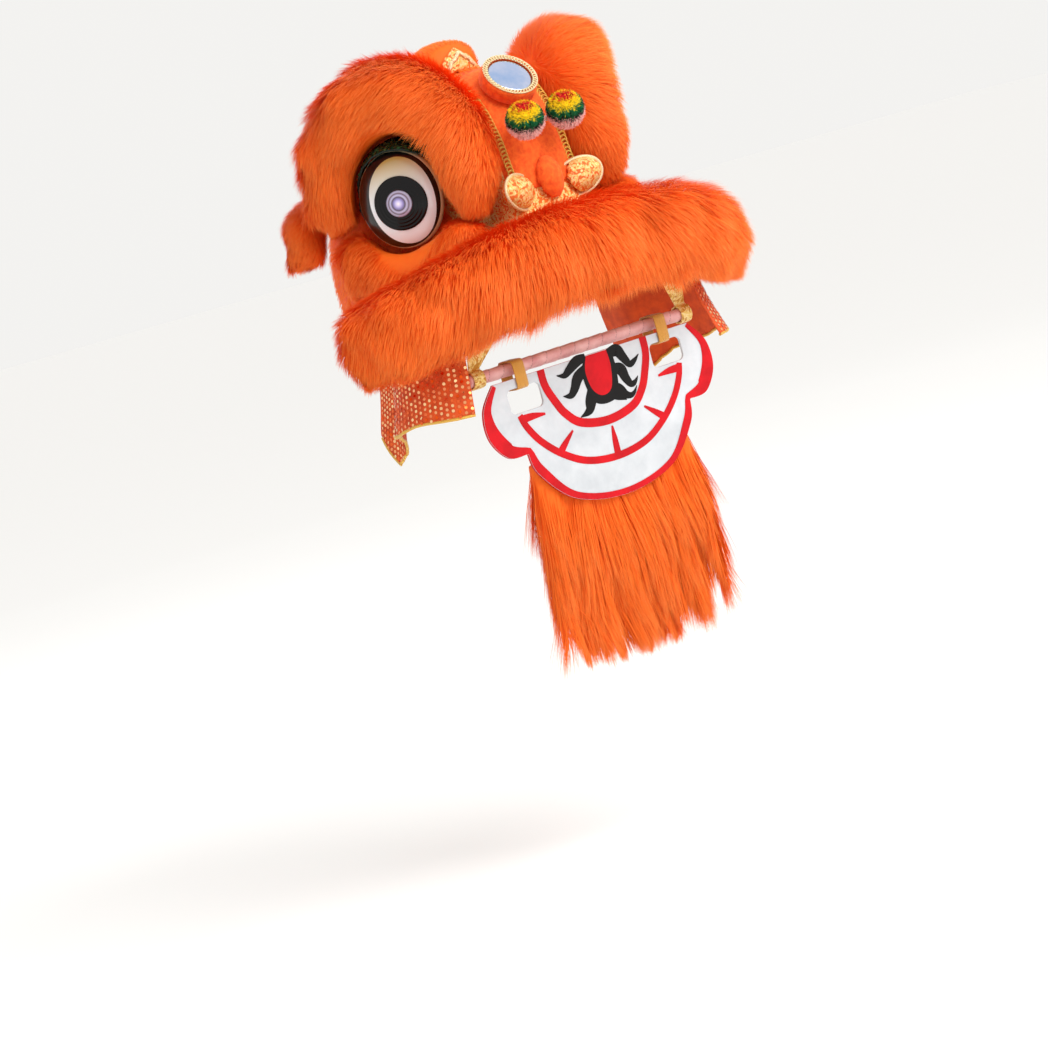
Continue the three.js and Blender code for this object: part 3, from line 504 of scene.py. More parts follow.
def wool_finish():
    finish, tone, along = strand_finish("pompom wool")
    stops = [((place + 0.02) / (TONES - 1.0), colour) for place, colour in enumerate(WOOL)]
    colours = finish.ramp(finish.math("ADD", tone, 0.03), *stops, steps="CONSTANT")
    # Greyer towards the root: painted shade deep in the wool.
    shade = finish.ramp(along, (0.0, srgb(150, 150, 150)), (0.6, srgb(255, 255, 255)))
    finish.feed(Base_Color=finish.blend(1.0, colours, shade, "MULTIPLY"))
    return finish.material


FUR = fur_finish()
WOOLLY = wool_finish()
print("finishes:", FUR.name, WOOLLY.name)

# %% [markdown]
# Each roll of fur has a padded body under it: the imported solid, remeshed and smoothed until it is round.
# Particle hair would look right in a render, but it isn't a mesh, so it can't be exported. Here each strand
# is a narrow ribbon of three triangles, bent by a curve from its root to its tip, and thousands of them are
# joined in one mesh from arrays. Strands lean together in tufts, as real pile does. Their shading normals
# lie between the ribbon's own face and the roll under it: the roll's share keeps the fur soft in the light,
# and the ribbon's share keeps it from going black where a strand turns away.

# %% Growing fur
LEVELS = np.array([0.0, 0.52, 1.0])
TAPER = np.array([1.0, 0.85])
HEART = np.array([0, -30, 130]) * MM
DOWN = np.array([0.0, 0.0, -1.0])
RIBBON = np.array([[0, 1, 3], [0, 3, 2], [2, 3, 4]])
STRAND_WIDTH = 0.8 * MM
ROOT_DEPTH = 2 * MM


def arrays_of(mesh):
    """A mesh as arrays: points, their normals, and the corners of its triangles."""
    mesh.calc_loop_triangles()
    points = np.empty(3 * len(mesh.vertices), np.float32)
    normals = np.empty(3 * len(mesh.vertices), np.float32)
    corners = np.empty(3 * len(mesh.loop_triangles), np.int32)
    mesh.vertices.foreach_get("co", points)
    mesh.vertex_normals.foreach_get("vector", normals)
    mesh.loop_triangles.foreach_get("vertices", corners)
    return points.reshape(-1, 3).astype(float), normals.reshape(-1, 3).astype(float), corners.reshape(-1, 3)


def drift(points, size, rng):
    """Numbers from about -1 to 1 that wander slowly over space."""
    waves = rng.normal(size=(7, 3)) / size
    return np.sin(points @ waves.T + rng.uniform(0, 6.28, 7)).mean(axis=1) * 1.9


def roots_on(surface, count, rng, clear_of=None, clear=6 * MM, keep=None):
    """Places on a surface, evenly by area, that stay clear of other pieces."""
    points, normals, corners = surface
    a, b, c = (points[corners[:, i]] for i in range(3))
    area = np.linalg.norm(np.cross(b - a, c - a), axis=1)
    pick = rng.choice(len(area), size=count, p=area / area.sum())
    first, second = rng.uniform(size=(2, count, 1))
    over = first + second > 1
    first = np.where(over, 1 - first, first)
    second = np.where(over, 1 - second, second)

    def mix(rows):
        one, two, three = (rows[corners[pick, i]] for i in range(3))
        return one * (1 - first - second) + two * first + three * second

    places, ways = mix(points), unit(mix(normals))
    good = np.ones(count, bool)
    if keep is not None:
        good &= keep(places, ways)
    if clear_of is not None:
        near = [clear_of.find_nearest(Vector(place), clear)[0] is None for place in places]
        good &= np.array(near)
    return places[good], ways[good]


def grow(places, ways, comb, length, width, lift, rng,
         gather=0.5, tuft=10, tone=(0.1, 0.9), stray=1.0, droop=0.0):
    """Strands from roots: five points each, one shading normal, and one strip of the map."""
    count = len(places)
    comb = unit(comb - ways * (comb * ways).sum(axis=1, keepdims=True))
    jitter = stray * rng.normal(size=(2, count, 3))
    rise = unit(lift * ways + (1 - lift) * comb + 0.1 * jitter[0])
    lie = unit(comb + 0.2 * stray * ways + 0.12 * jitter[1])
    reach = (length * rng.uniform(0.78, 1.12, count))[:, None]
    start = places - ROOT_DEPTH * ways
    middle = start + 0.5 * reach * rise
    end = middle + 0.55 * reach * lie + droop * reach * DOWN
    heads = rng.permutation(count)[: max(1, count // tuft)]
    tree = kdtree.KDTree(len(heads))
    for head in heads:
        tree.insert(places[head], head)
    tree.balance()
    leader = np.array([tree.find(place)[1] for place in places])
    pull = gather * rng.uniform(0.6, 1.2, (count, 1))
    end = end + pull * (end[leader] - end)
    middle = middle + 0.4 * pull * (middle[leader] - middle)
    spine = np.stack([
        (1 - t) ** 2 * start + 2 * t * (1 - t) * middle + t ** 2 * end for t in LEVELS
    ], axis=1)
    aside = unit(np.cross(end - start, ways))
    above = unit(np.cross(aside, end - start))
    roll = rng.uniform(-0.4, 0.4, (count, 1))
    facing = np.cos(roll) * above - np.sin(roll) * aside
    aside = np.cos(roll) * aside + np.sin(roll) * above
    wide = width * rng.uniform(0.75, 1.3, (count, 1))
    points = np.empty((count, 5, 3))
    for level, share in enumerate(TAPER):
        points[:, 2 * level] = spine[:, level] - 0.5 * share * wide * aside
        points[:, 2 * level + 1] = spine[:, level] + 0.5 * share * wide * aside
    points[:, 4] = spine[:, 2]
    shading = unit(facing + 0.6 * ways)
    low, high = tone
    spread = 0.5 + 0.22 * drift(places, 0.03, rng)[:, None] + rng.uniform(-0.3, 0.3, (count, 1))
    strip = np.floor(np.clip(low + (high - low) * spread, 0, 0.999) * TONES)
    return points, shading, strip


def strand_arrays(points, shading, strip):
    """Grown strands as arrays for one mesh: points, normals, triangles and map places."""
    count = len(points)
    triangles = (RIBBON[None] + 5 * np.arange(count)[:, None, None]).reshape(-1, 3)
    edge = np.array([0.2, 0.8, 0.2, 0.8, 0.5])
    across = (strip + edge[None]) / TONES
    along = np.repeat(np.array([LEVELS[[0, 0, 1, 1, 2]]]), count, axis=0)
    places = np.stack([across, 0.02 + 0.96 * along], axis=2).reshape(-1, 2)
    return points.reshape(-1, 3), np.repeat(shading, 5, axis=0), triangles, places


def base_arrays(surface, strip, rng):
    """The body under the fur as arrays for one mesh, in the darker colours near the roots, which are painted
    shade.
    """
    points, normals, corners = surface
    across = (strip + rng.uniform(0.2, 0.8, len(points))) / TONES
    along = rng.uniform(0.1, 0.4, len(points))
    return points, normals, corners, np.stack([across, along], axis=1)


def joined(name, parts, material):
    """One mesh piece from several sets of arrays."""
    shift = np.cumsum([0] + [len(part[0]) for part in parts])
    points, normals, spots = (np.concatenate([part[i] for part in parts]) for i in (0, 1, 3))
    corners = np.concatenate([part[2] + start for part, start in zip(parts, shift)])
    mesh = bpy.data.meshes.new(name)
    mesh.vertices.add(len(points))
    mesh.vertices.foreach_set("co", points.astype(np.float32).ravel())
    mesh.loops.add(corners.size)
    mesh.loops.foreach_set("vertex_index", corners.astype(np.int32).ravel())
    mesh.polygons.add(len(corners))
    mesh.polygons.foreach_set("loop_start", np.arange(0, corners.size, 3, dtype=np.int32))
    mesh.update(calc_edges=True)
    layer = mesh.uv_layers.new(name=FUR_MAP)
    layer.uv.foreach_set("vector", spots[corners.ravel()].astype(np.float32).ravel())
    piece = linked(name, mesh, material)
    mesh.normals_split_custom_set_from_vertices(normals.tolist())
    return piece


def fur_piece(name, surface, coat, rng, strip=5):
    return joined(name, [base_arrays(surface, strip, rng), strand_arrays(*coat)], FUR)


def kept(coat, good):
    """The strands of a coat that are good."""
    return tuple(rows[good] for rows in coat)


SHELL_TREE = tree_of("shell")
print("fur can grow")

# %% [markdown]
# The lip is the widest roll: it runs from one corner of the mouth round the snout to the other.
# On the real head it is a sewn tube of fur, stuffed with foam. Its fur is combed down and out towards the
# corners, so it hangs over the mouth in a heavy fringe, and it is shorter at the ends and against the head.

# %% Lip
LIP_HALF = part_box("lip")[1].x
LIP_STRANDS = 58000
LIP_LENGTH = 44 * MM


def over_top(ways):
    """How strongly fur leans outwards: most on top of a roll, where it falls over its crest."""
    return np.clip(0.25 + 1.2 * ways[:, 2:], 0.1, 1.4)


def lip_comb(places, ways):
    ahead = unit((places - HEART) * np.array([1, 1, 0]))
    aside = np.zeros_like(places)
    aside[:, 0] = 0.6 * places[:, 0] / LIP_HALF
    return 0.85 * DOWN + aside + over_top(ways) * ahead


def make_lip():
    rng = np.random.default_rng(11)
    surface = arrays_of(fur_body("lip", 7 * MM, 30))
    places, ways = roots_on(surface, LIP_STRANDS, rng, SHELL_TREE)
    facing_head = np.clip(-(ways * unit((places - HEART) * np.array([1, 1, 0]))).sum(axis=1), 0, 1)
    ends = np.interp(np.abs(places[:, 0]) / LIP_HALF, [0.5, 0.95], [1.0, 0.5])
    length = LIP_LENGTH * (1 - 0.5 * facing_head) * ends
    lift = 0.42 + 0.3 * np.clip(ways[:, 2:], 0, 1)
    comb = lip_comb(places, ways)
    coat = grow(places, ways, comb, length, STRAND_WIDTH, lift, rng, gather=0.16, droop=0.14)
    return fur_piece("lip_fur", surface, coat, rng)


lip = present(make_lip(), "head", "fur", "lip")

# %% [markdown]
# Each brow is a thick roll that arches over its eye, and each cheek is a smaller one under it.
# The way the fur lies is worked out round the eye: the hinge of the lid gives the middle of the eye and
# the way towards the nose. A strand that would enter the room that the lid needs to blink, or hide the eye,
# is left out, as a maker trims the fur round the eyes. The left rolls use the same rules, mirrored.

# %% Brows and cheeks
EYE_AT = np.array(joints["blink_right"]["pos_m"])
NOSEWARD = np.array(joints["blink_right"]["axis"])
OUTWARD = np.array([NOSEWARD[1], -NOSEWARD[0], 0.0])
LID_ROOM = np.array([76, 84, 84]) * MM
EYE_VIEW = np.array([61, 94]) * MM
FLIP = np.array([-1.0, 1.0, 1.0])


def in_eye_frame(places):
    """Places measured from the right eye: towards the nose, out of the head, and up."""
    offset = places - EYE_AT
    return np.stack([offset @ NOSEWARD, offset @ OUTWARD, offset[:, 2]], axis=1)


def clear_of_eye(points, rng):
    """True for each strand of a right-hand piece that leaves the lid its room and the eye in view."""
    seen = in_eye_frame(points.reshape(-1, 3))
    roomy = np.linalg.norm(seen / LID_ROOM, axis=1) > 1
    trim = np.repeat(rng.uniform(0.92, 1.04, len(points)), points.shape[1])
    open_view = np.hypot(seen[:, 0] / EYE_VIEW[0], seen[:, 2] / EYE_VIEW[1]) > trim
    return (roomy & (open_view | (seen[:, 1] < 0))).reshape(points.shape[:2]).all(axis=1)


def around_eye(places):
    """The angle of each place round the right eye, from the nose side up, and the way along its circle."""
    seen = in_eye_frame(places)
    angle = np.arctan2(seen[:, 2], seen[:, 0])
    along = -np.sin(angle)[:, None] * NOSEWARD + np.cos(angle)[:, None] * np.array([0.0, 0.0, 1.0])
    return angle, along


def brow_length(places):
    """Fur is shorter at the foot of a brow, beside the nose, so that the snout shows."""
    angle, along = around_eye(places)
    return np.interp(np.degrees(angle), [-60, -10, 35, 110, 170], [0.5, 0.55, 1.0, 1.0, 0.75])


def cheek_length(places):
    angle, along = around_eye(places)
    return np.interp(np.degrees(angle), [-120, -60, -20], [1.0, 0.8, 0.5])


def brow_comb(places, ways):
    angle, along = around_eye(places)
    back = np.clip((np.degrees(angle) - 20) / 50, 0, 1)[:, None]
    return 0.6 * DOWN + 0.75 * back * along - 0.4 * (1 - back) * NOSEWARD + over_top(ways) * OUTWARD


def cheek_comb(places, ways):
    angle, along = around_eye(places)
    return 0.9 * DOWN - 0.6 * along + over_top(ways) * OUTWARD


ROLLS = [
    {"name": "brow", "seed": 21, "voxel": 6, "rounds": 45, "sink": 1,
     "strands": 42000, "length": 32, "comb": brow_comb, "share": brow_length},
    {"name": "cheek", "seed": 41, "voxel": 5, "rounds": 30, "sink": 0,
     "strands": 17000, "length": 30, "comb": cheek_comb, "share": cheek_length},
]


def make_roll(roll, side, sign):
    rng = np.random.default_rng(roll["seed"] + (sign < 0))
    flip = FLIP if sign < 0 else np.ones(3)
    body = fur_body(f"{roll['name']}_{side}", roll["voxel"] * MM, roll["rounds"], roll["sink"] * MM)
    surface = arrays_of(body)
    places, ways = roots_on(surface, roll["strands"], rng, SHELL_TREE)
    comb = roll["comb"](places * flip, ways * flip) * flip
    length = roll["length"] * MM * roll["share"](places * flip)
    coat = grow(places, ways, comb, length, STRAND_WIDTH, 0.42, rng, gather=0.16, droop=0.1)
    good = clear_of_eye(coat[0] * flip, rng)
    return fur_piece(f"{roll['name']}_fur_{side}", surface, kept(coat, good), rng)


for roll in ROLLS:
    for side, sign in SIDES.items():
        piece = present(make_roll(roll, side, sign), "head", "fur", f"{roll['name']}_{side}")

# %% [markdown]
# The ears and the horn are short lobes of the same fur. An ear is a padded lobe that hangs from a sewn
# root, so its fur is combed from root to tip. The horn is a stuffed knob, and its fur is the shortest and is
# combed back from the brocade face, which it must not cover.

# %% Ears and horn
EAR_WAY = np.array([-0.62, 0.05, -0.78])
EAR_STRANDS = 9500
EAR_LENGTH = 20 * MM
HORN_STRANDS = 9000
HORN_LENGTH = 10 * MM


def make_ear(side, sign):
    rng = np.random.default_rng(61 + (sign < 0))
    flip = FLIP if sign < 0 else np.ones(3)
    surface = arrays_of(fur_body(f"ear_{side}", 5 * MM, 50, sink=-4 * MM))
    places, ways = roots_on(surface, EAR_STRANDS, rng, SHELL_TREE)
    comb = np.tile(EAR_WAY * flip, (len(places), 1))
    coat = grow(places, ways, comb, EAR_LENGTH, STRAND_WIDTH, 0.45, rng, gather=0.14)
    return fur_piece(f"ear_fur_{side}", surface, coat, rng)


def make_horn():
    rng = np.random.default_rng(65)
    surface = arrays_of(fur_body("horn", 5 * MM, 60, sink=-4 * MM))
    face_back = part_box("horn_face")[1].y

    def off_the_face(places, ways):
        return ways[:, 1] > -0.8

    places, ways = roots_on(surface, HORN_STRANDS, rng, SHELL_TREE, keep=off_the_face)
    comb = np.tile([0.0, 0.7, 0.5], (len(places), 1)) + 0.6 * ways * np.array([1, 0, 0])
    coat = grow(places, ways, comb, HORN_LENGTH, STRAND_WIDTH, 0.45, rng, gather=0.1, stray=0.6)
    good = (coat[0][:, :, 1] > face_back).all(axis=1)
    return fur_piece("horn_fur", surface, kept(coat, good), rng)


for side, sign in SIDES.items():
    ear = present(make_ear(side, sign), "head", "fur", f"ear_{side}")
horn = present(make_horn(), "head", "fur", "horn")

# %% [markdown]
# The beard hangs behind the jaw board and swings with it. It is a fringe of hair on a strip of cloth, so its
# strands are much longer than those of the rolls and hang straight down, drawn together in locks. Each one
# is a little shorter the lower its root is, and none may come through the board.

# %% Beard
BEARD_STRANDS = 26000
BEARD_LONGEST = 120 * MM
BEARD_SHORTEST = 18 * MM
BEARD_WIDTH = 0.9 * MM


def hangs(places, ways):
    return ways[:, 2] < 0.4


def make_beard():
    rng = np.random.default_rng(71)
    surface = arrays_of(softened("beard", 5 * MM, 8, sink=2 * MM))
    low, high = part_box("beard")
    board_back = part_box("jaw_board")[1].y
    places, ways = roots_on(surface, BEARD_STRANDS, rng, keep=hangs)
    drop = np.clip((places[:, 2] - low.z) * 0.9 + BEARD_SHORTEST, 0, BEARD_LONGEST)
    drop = drop * (0.92 + 0.1 * drift(places, 0.02, rng))
    aside = 0.3 * drift(places, 0.025, rng)
    ahead = 0.12 * drift(places, 0.03, rng)
    sway = np.stack([aside, ahead, -np.ones(len(places))], axis=1)
    coat = grow(places, ways, sway, drop, BEARD_WIDTH, 0.08, rng,
                gather=0.55, tuft=24, tone=(0.0, 0.8), stray=0.5)
    good = (coat[0][:, :, 1] > board_back + 0.5 * MM).all(axis=1)
    return fur_piece("beard_fur", surface, kept(coat, good), rng)


present(make_beard(), "jaw", "fur", "beard")

# %% [markdown]
# Cloth, braid, paint and glass each get a finish of their own.
# Plush is a short pile, so it is matt with a soft sheen. Brocade is an orange ground with a raised motif in
# gold thread. Braid and piping are wound metal thread. All of them are procedural, from noise, cells and
# waves in the object's own space, so they need no picture and stay sharp at any distance.

# %% Cloth and thread finishes
def plush_finish():
    finish = Finish("orange plush", roughness=0.9, Sheen_Weight=0.35, Sheen_Tint=srgb(255, 170, 110))
    shade = finish.effect(MOTTLE, Vector=finish.place(), Scale=160.0)["Value"]
    finish.feed(Base_Color=finish.ramp(shade, (0.3, srgb(226, 72, 6)), (0.7, srgb(252, 112, 30))))
    finish.bump(shade, 0.6, 1.2 * MM)
    return finish.material


def gold_motif(finish, size):
    """A mask of leaves and stems, as woven into brocade in gold thread."""
    spot = finish.place()
    leaves = finish.add("ShaderNodeTexVoronoi", {"Vector": spot, "Scale": size * 1.6})
    curls = {"Vector": spot, "Scale": size, "Distortion": 2.6, "Detail": 3.0}
    stems = finish.add("ShaderNodeTexNoise", curls)
    leaf = finish.math("LESS_THAN", leaves.outputs["Distance"], 0.36)
    stem = finish.math("GREATER_THAN", stems.outputs["Fac"], 0.48)
    return finish.math("MAXIMUM", leaf, stem)


def brocade_finish(name, ground, gold):
    finish = Finish(name, roughness=0.42)
    motif = gold_motif(finish, 90.0)
    # Pale spots on the gold thread are painted glints.
    painted_glint = finish.effect(MOTTLE, Vector=finish.place(), Scale=420.0)["Value"]
    bright = finish.ramp(painted_glint, (0.35, gold), (0.68, srgb(255, 236, 176)))
    finish.feed(
        Base_Color=finish.blend(motif, ground, bright),
        Metallic=finish.math("MULTIPLY", motif, 0.4),
    )
    threads = finish.effect(WEAVE, Vector=finish.place(), Scale=420.0)["Height"]
    finish.bump(finish.math("ADD", threads, motif), 0.5, 0.5 * MM)
    return finish.material


def thread_finish(name, dark, light, metallic, scale=900.0):
    finish = Finish(name, roughness=0.36, Metallic=metallic)
    spot = {"Vector": finish.place(), "Scale": scale}
    twist = finish.add("ShaderNodeTexWave", spot, bands_direction="DIAGONAL")
    finish.feed(Base_Color=finish.ramp(twist.outputs["Fac"], (0.1, dark), (0.8, light)))
    finish.bump(twist.outputs["Fac"], 0.5, 0.3 * MM)
    return finish.material


PLUSH = plush_finish()
BROCADE = brocade_finish("gold brocade", srgb(232, 106, 14), srgb(236, 178, 60))
LINING = brocade_finish("mouth brocade", srgb(206, 138, 22), srgb(238, 196, 80))
GOLD = thread_finish("gold thread", srgb(190, 128, 24), srgb(250, 208, 98), 0.3)
CREAM = thread_finish("cream braid", srgb(206, 172, 96), srgb(255, 244, 206), 0.3)
print("cloth finishes:", PLUSH.name, BROCADE.name, LINING.name, GOLD.name, CREAM.name)

# %% [markdown]
# The dome itself is papier-mache. Outside it is covered with cloth: gold brocade on the snout and orange
# plush elsewhere. Inside it is bare paper. One mesh carries all three, with two attributes that say where
# the snout and the inside are, so that the finish can change over a few millimetres.

# %% Dome
SNOUT_FRONT = -92 * MM
SNOUT_TOP = 236 * MM


def dome_finish():
    finish = Finish("covered dome", roughness=0.8)
    spot = finish.place()
    snout = finish.add("ShaderNodeAttribute", attribute_name="snout").outputs["Fac"]
    inside = finish.add("ShaderNodeAttribute", attribute_name="inside").outputs["Fac"]
    pile = finish.effect(MOTTLE, Vector=spot, Scale=160.0)["Value"]
    plush = finish.ramp(pile, (0.3, srgb(220, 70, 6)), (0.7, srgb(250, 108, 28)))
    motif = gold_motif(finish, 90.0)
    # Pale spots on the gold thread of the snout are painted glints.
    painted_glint = finish.effect(MOTTLE, Vector=spot, Scale=420.0)["Value"]
    gold = finish.ramp(painted_glint, (0.35, srgb(236, 178, 60)), (0.68, srgb(255, 236, 176)))
    brocade = finish.blend(motif, srgb(232, 106, 14), gold)
    fibres = finish.effect(MOTTLE, Vector=spot, Scale=55.0)["Value"]
    paper = finish.ramp(fibres, (0.3, srgb(176, 150, 112)), (0.7, srgb(206, 184, 146)))
    outside = finish.blend(snout, plush, brocade)
    shine = finish.math("MULTIPLY", finish.math("MULTIPLY", motif, snout), 0.35)
    finish.feed(Base_Color=finish.blend(inside, outside, paper), Metallic=shine)
    finish.bump(finish.math("ADD", pile, finish.math("MULTIPLY", motif, snout)), 0.5, 0.8 * MM)
    return finish.material


def point_numbers(mesh, name, numbers):
    """Stores one number a point, which a finish can read by its name."""
    layer = mesh.attributes.new(name, "FLOAT", "POINT")
    layer.data.foreach_set("value", np.asarray(numbers, np.float32))


def make_dome():
    mesh = worked(merged_copy("shell"), ("SUBSURF", {"levels": 2, "render_levels": 2}))
    points, normals, corners = arrays_of(mesh)
    snout = (points[:, 1] < SNOUT_FRONT) & (points[:, 2] < SNOUT_TOP)
    inside = ((points - HEART) * normals).sum(axis=1) < 0
    point_numbers(mesh, "snout", snout)
    point_numbers(mesh, "inside", inside)
    return linked("dome", mesh, dome_finish())


dome = present(make_dome(), "head", "shell_skin", "shell")
DOME_TREE = BVHTree.FromObject(dome, bpy.context.evaluated_depsgraph_get())

# %% [markdown]
# Where no roll covers the dome its plush shows as a short pile. It is grown like the long fur, only much
# shorter, and lies down and back.

# %% Short pile
BELOW = ("beard", "jaw_board", "strap_right", "strap_left")
COVERING = [name for name in nodes if name != "shell" and name not in BELOW]
PILE_STRANDS = 52000
PILE_LENGTH = 13 * MM
PILE_WIDTH = 1.0 * MM


def make_pile():
    rng = np.random.default_rng(81)
    surface = arrays_of(dome.data)
    beside = tree_of(*COVERING)

    def keep(places, ways):
        outside = ((places - HEART) * ways).sum(axis=1) > 40 * MM
        snout = (places[:, 1] < SNOUT_FRONT) & (places[:, 2] < SNOUT_TOP)
        return outside & ~snout & (ways[:, 2] > -0.4)

    places, ways = roots_on(surface, PILE_STRANDS, rng, beside, 3 * MM, keep)
    comb = np.tile(0.9 * DOWN + np.array([0, 0.5, 0]), (len(places), 1))
    coat = grow(places, ways, comb, PILE_LENGTH, PILE_WIDTH, 0.5, rng)
    return joined("dome_pile", [strand_arrays(*coat)], FUR)


present(make_pile(), "head", "plush")

# %% [markdown]
# A panel of smooth plush runs up the forehead between the brows, with a looped gold braid along each edge.
# The panel starts as a flat grid. Each of its points is sent out from an axis inside the head until it
# meets the dome, so the panel takes the dome's own curve.

# %% Forehead panel
PANEL_HALF = 58 * MM
PANEL_AXIS = Vector((0, -60, 240)) * MM
PANEL_FROM = math.radians(-22)
PANEL_TO = math.radians(66)
PANEL_THICK = 3.2 * MM


def on_forehead(x, angle, lift):
    """The place over the dome's outside that is met at an angle from the panel's axis."""
    start = Vector((x, PANEL_AXIS.y, PANEL_AXIS.z))
    way = Vector((0, -math.cos(angle), math.sin(angle)))
    met, normal, face, far = DOME_TREE.ray_cast(start + way * 40 * MM, way)
    if normal.dot(way) < 0:
        met, normal, face, far = DOME_TREE.ray_cast(met + way * 0.5 * MM, way)
    return met + way * lift


def make_panel():
    shape = bmesh.new()
    bmesh.ops.create_grid(shape, x_segments=14, y_segments=28, size=0.5)
    for vertex in shape.verts:
        angle = PANEL_FROM + (vertex.co.y + 0.5) * (PANEL_TO - PANEL_FROM)
        vertex.co = on_forehead(vertex.co.x * 2 * PANEL_HALF, angle, PANEL_THICK)
    bmesh.ops.smooth_vert(shape, verts=[v for v in shape.verts if not v.is_boundary], factor=0.5,
                          use_axis_x=True, use_axis_y=True, use_axis_z=True)
    bmesh.ops.recalc_face_normals(shape, faces=shape.faces)
    mesh = worked(
        shape,
        ("SOLIDIFY", {"thickness": PANEL_THICK, "offset": -1.0}),
        ("SUBSURF", {"levels": 1, "render_levels": 1}),
    )
    return linked("forehead_plush", mesh, PLUSH)


def looped(path, loop, pitch, steps=12):
    """Points of a cord that curls along a path of places and outward ways, as looped braid does."""
    places = np.array([place for place, way in path])
    ways = np.array([way for place, way in path])
    gone = np.concatenate([[0], np.cumsum(np.linalg.norm(np.diff(places, axis=0), axis=1))])
    turns = max(2, round(gone[-1] / pitch))
    spots = np.linspace(0, gone[-1], turns * steps)
    centre = np.stack([np.interp(spots, gone, places[:, i]) for i in range(3)], axis=1)
    up = unit(np.stack([np.interp(spots, gone, ways[:, i]) for i in range(3)], axis=1))
    ahead = unit(np.gradient(centre, axis=0))
    aside = np.cross(ahead, up)
    angle = (2 * math.pi * spots / gone[-1] * turns)[:, None]
    return centre + loop * (np.cos(angle) * aside + np.sin(angle) * ahead) + 0.3 * loop * np.sin(angle) * up


panel = present(make_panel(), "head", "plush", "forehead_panel")
for side, sign in SIDES.items():
    edge = []
    for angle in np.linspace(PANEL_FROM, PANEL_TO, 60):
        place = on_forehead(-sign * (PANEL_HALF - 8 * MM), angle, PANEL_THICK + 1.6 * MM)
        edge.append((np.array(place), np.array([0, -math.cos(angle), math.sin(angle)])))
    braid = tube(f"forehead_braid_{side}", looped(edge, 5 * MM, 5.5 * MM), 1.1 * MM, GOLD, sides=1)
    present(braid, "head", "braid")

# %% [markdown]
# The front of the horn is a stuffed brocade face with a cream band along its edge.
# It is a skin blown up by Cloth, which gives the soft round edge of stuffing. The band is laid on by looking
# back at the face from in front: rays find its edge, and the band runs a little inside that.

# %% Horn face
BAND_INSET = 8
BAND_RADIUS = 2.8 * MM
BACKWARDS = Vector((0, 1, 0))
SKIN_VOXEL = 2.5 * MM
SKIN_ROUNDS = 4


def tree_for(piece):
    return BVHTree.FromObject(piece, bpy.context.evaluated_depsgraph_get())


def make_horn_face():
    return linked("horn_brocade", stuffed("horn_face", SKIN_VOXEL, SKIN_ROUNDS), BROCADE)


def make_horn_band(face):
    low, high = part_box("horn_face")
    tree = tree_for(face)
    foot = Vector(((low.x + high.x) / 2, low.y - 0.05, low.z + 10 * MM))
    points = []
    for turn in np.radians(np.linspace(12, 168, 70)):
        way = Vector((math.cos(turn), 0, math.sin(turn)))
        reach = max(far for far in range(10, 90) if tree.ray_cast(foot + way * far * MM, BACKWARDS)[0])
        met = tree.ray_cast(foot + way * (reach - BAND_INSET) * MM, BACKWARDS)[0]
        points.append(met - 1.2 * MM * BACKWARDS)
    return tube("horn_band", points, BAND_RADIUS, CREAM)


horn_face = present(make_horn_face(), "head", "brocade", "horn_face")
present(make_horn_band(horn_face), "head", "braid")

# %% [markdown]
# The mirror on the forehead is a round, slightly domed glass in a plush seat, with a looped braid on its rim.
# The glass and the seat are turned like pots on a lathe: a profile is spun round the axis and then tipped
# into place. The glass is coloured a faint, uneven blue: a painted reflection of a clear sky.

# %% Mirror
MIRROR_AT = Vector((0, -171, 334)) * MM
MIRROR_WAY = Vector((0, -0.766, 0.643))
MIRROR_RADIUS = 31 * MM
SEAT_PROFILE = [(31.6, -14), (31.6, 2.5), (33, 4.2), (36, 4.4), (38.4, 3), (39, 0), (39, -14), (31.6, -14)]
BRAID_RADIUS = 34.5 * MM
MIRROR_PLACE = Matrix.Translation(MIRROR_AT) @ MIRROR_WAY.to_track_quat("Z", "Y").to_matrix().to_4x4()


def make_mirror():
    domed = [(share * MIRROR_RADIUS, (5.2 - 2.2 * share ** 2) * MM) for share in np.linspace(0, 1, 10)]
    glass = turned(domed + [(MIRROR_RADIUS, 0.6 * MM), (0, 0.6 * MM)], 64)
    bmesh.ops.transform(glass, matrix=MIRROR_PLACE, verts=glass.verts)
    finish = Finish("mirror glass", roughness=0.05, Metallic=1.0)
    sky = finish.effect(MOTTLE, Vector=finish.place(), Scale=22.0)["Value"]
    # The faint uneven blue is a painted reflection of a clear sky.
    finish.feed(Base_Color=finish.ramp(sky, (0.3, srgb(166, 194, 238)), (0.75, srgb(226, 228, 248))))
    return from_bmesh("mirror_glass", glass, finish.material)


def make_seat():
    ring = turned([(radius * MM, height * MM) for radius, height in SEAT_PROFILE], 64)
    bmesh.ops.transform(ring, matrix=MIRROR_PLACE, verts=ring.verts)
    return from_bmesh("mirror_seat", ring, PLUSH)


def make_rim_braid():
    path = []
    for turn in np.linspace(0, 2 * math.pi, 160):
        spot = Vector((math.cos(turn) * BRAID_RADIUS, math.sin(turn) * BRAID_RADIUS, 5 * MM))
        path.append((np.array(MIRROR_PLACE @ spot), np.array(MIRROR_WAY)))
    return tube("mirror_braid", looped(path, 3.0 * MM, 4.6 * MM), 1.0 * MM, CREAM, sides=1)


present(make_mirror(), "head", "mirror", "mirror")
present(make_seat(), "head", "plush", "mirror_bezel")
present(make_rim_braid(), "head", "braid")

# %% [markdown]
# The nose is a plush bridge between two brocade wings, stuffed like small cushions and piped in cream.
# Each is a skin that Cloth blows up, so it bulges between its seams. The piping is a ring of cord round a
# wing, just inside the wing's own half sizes.

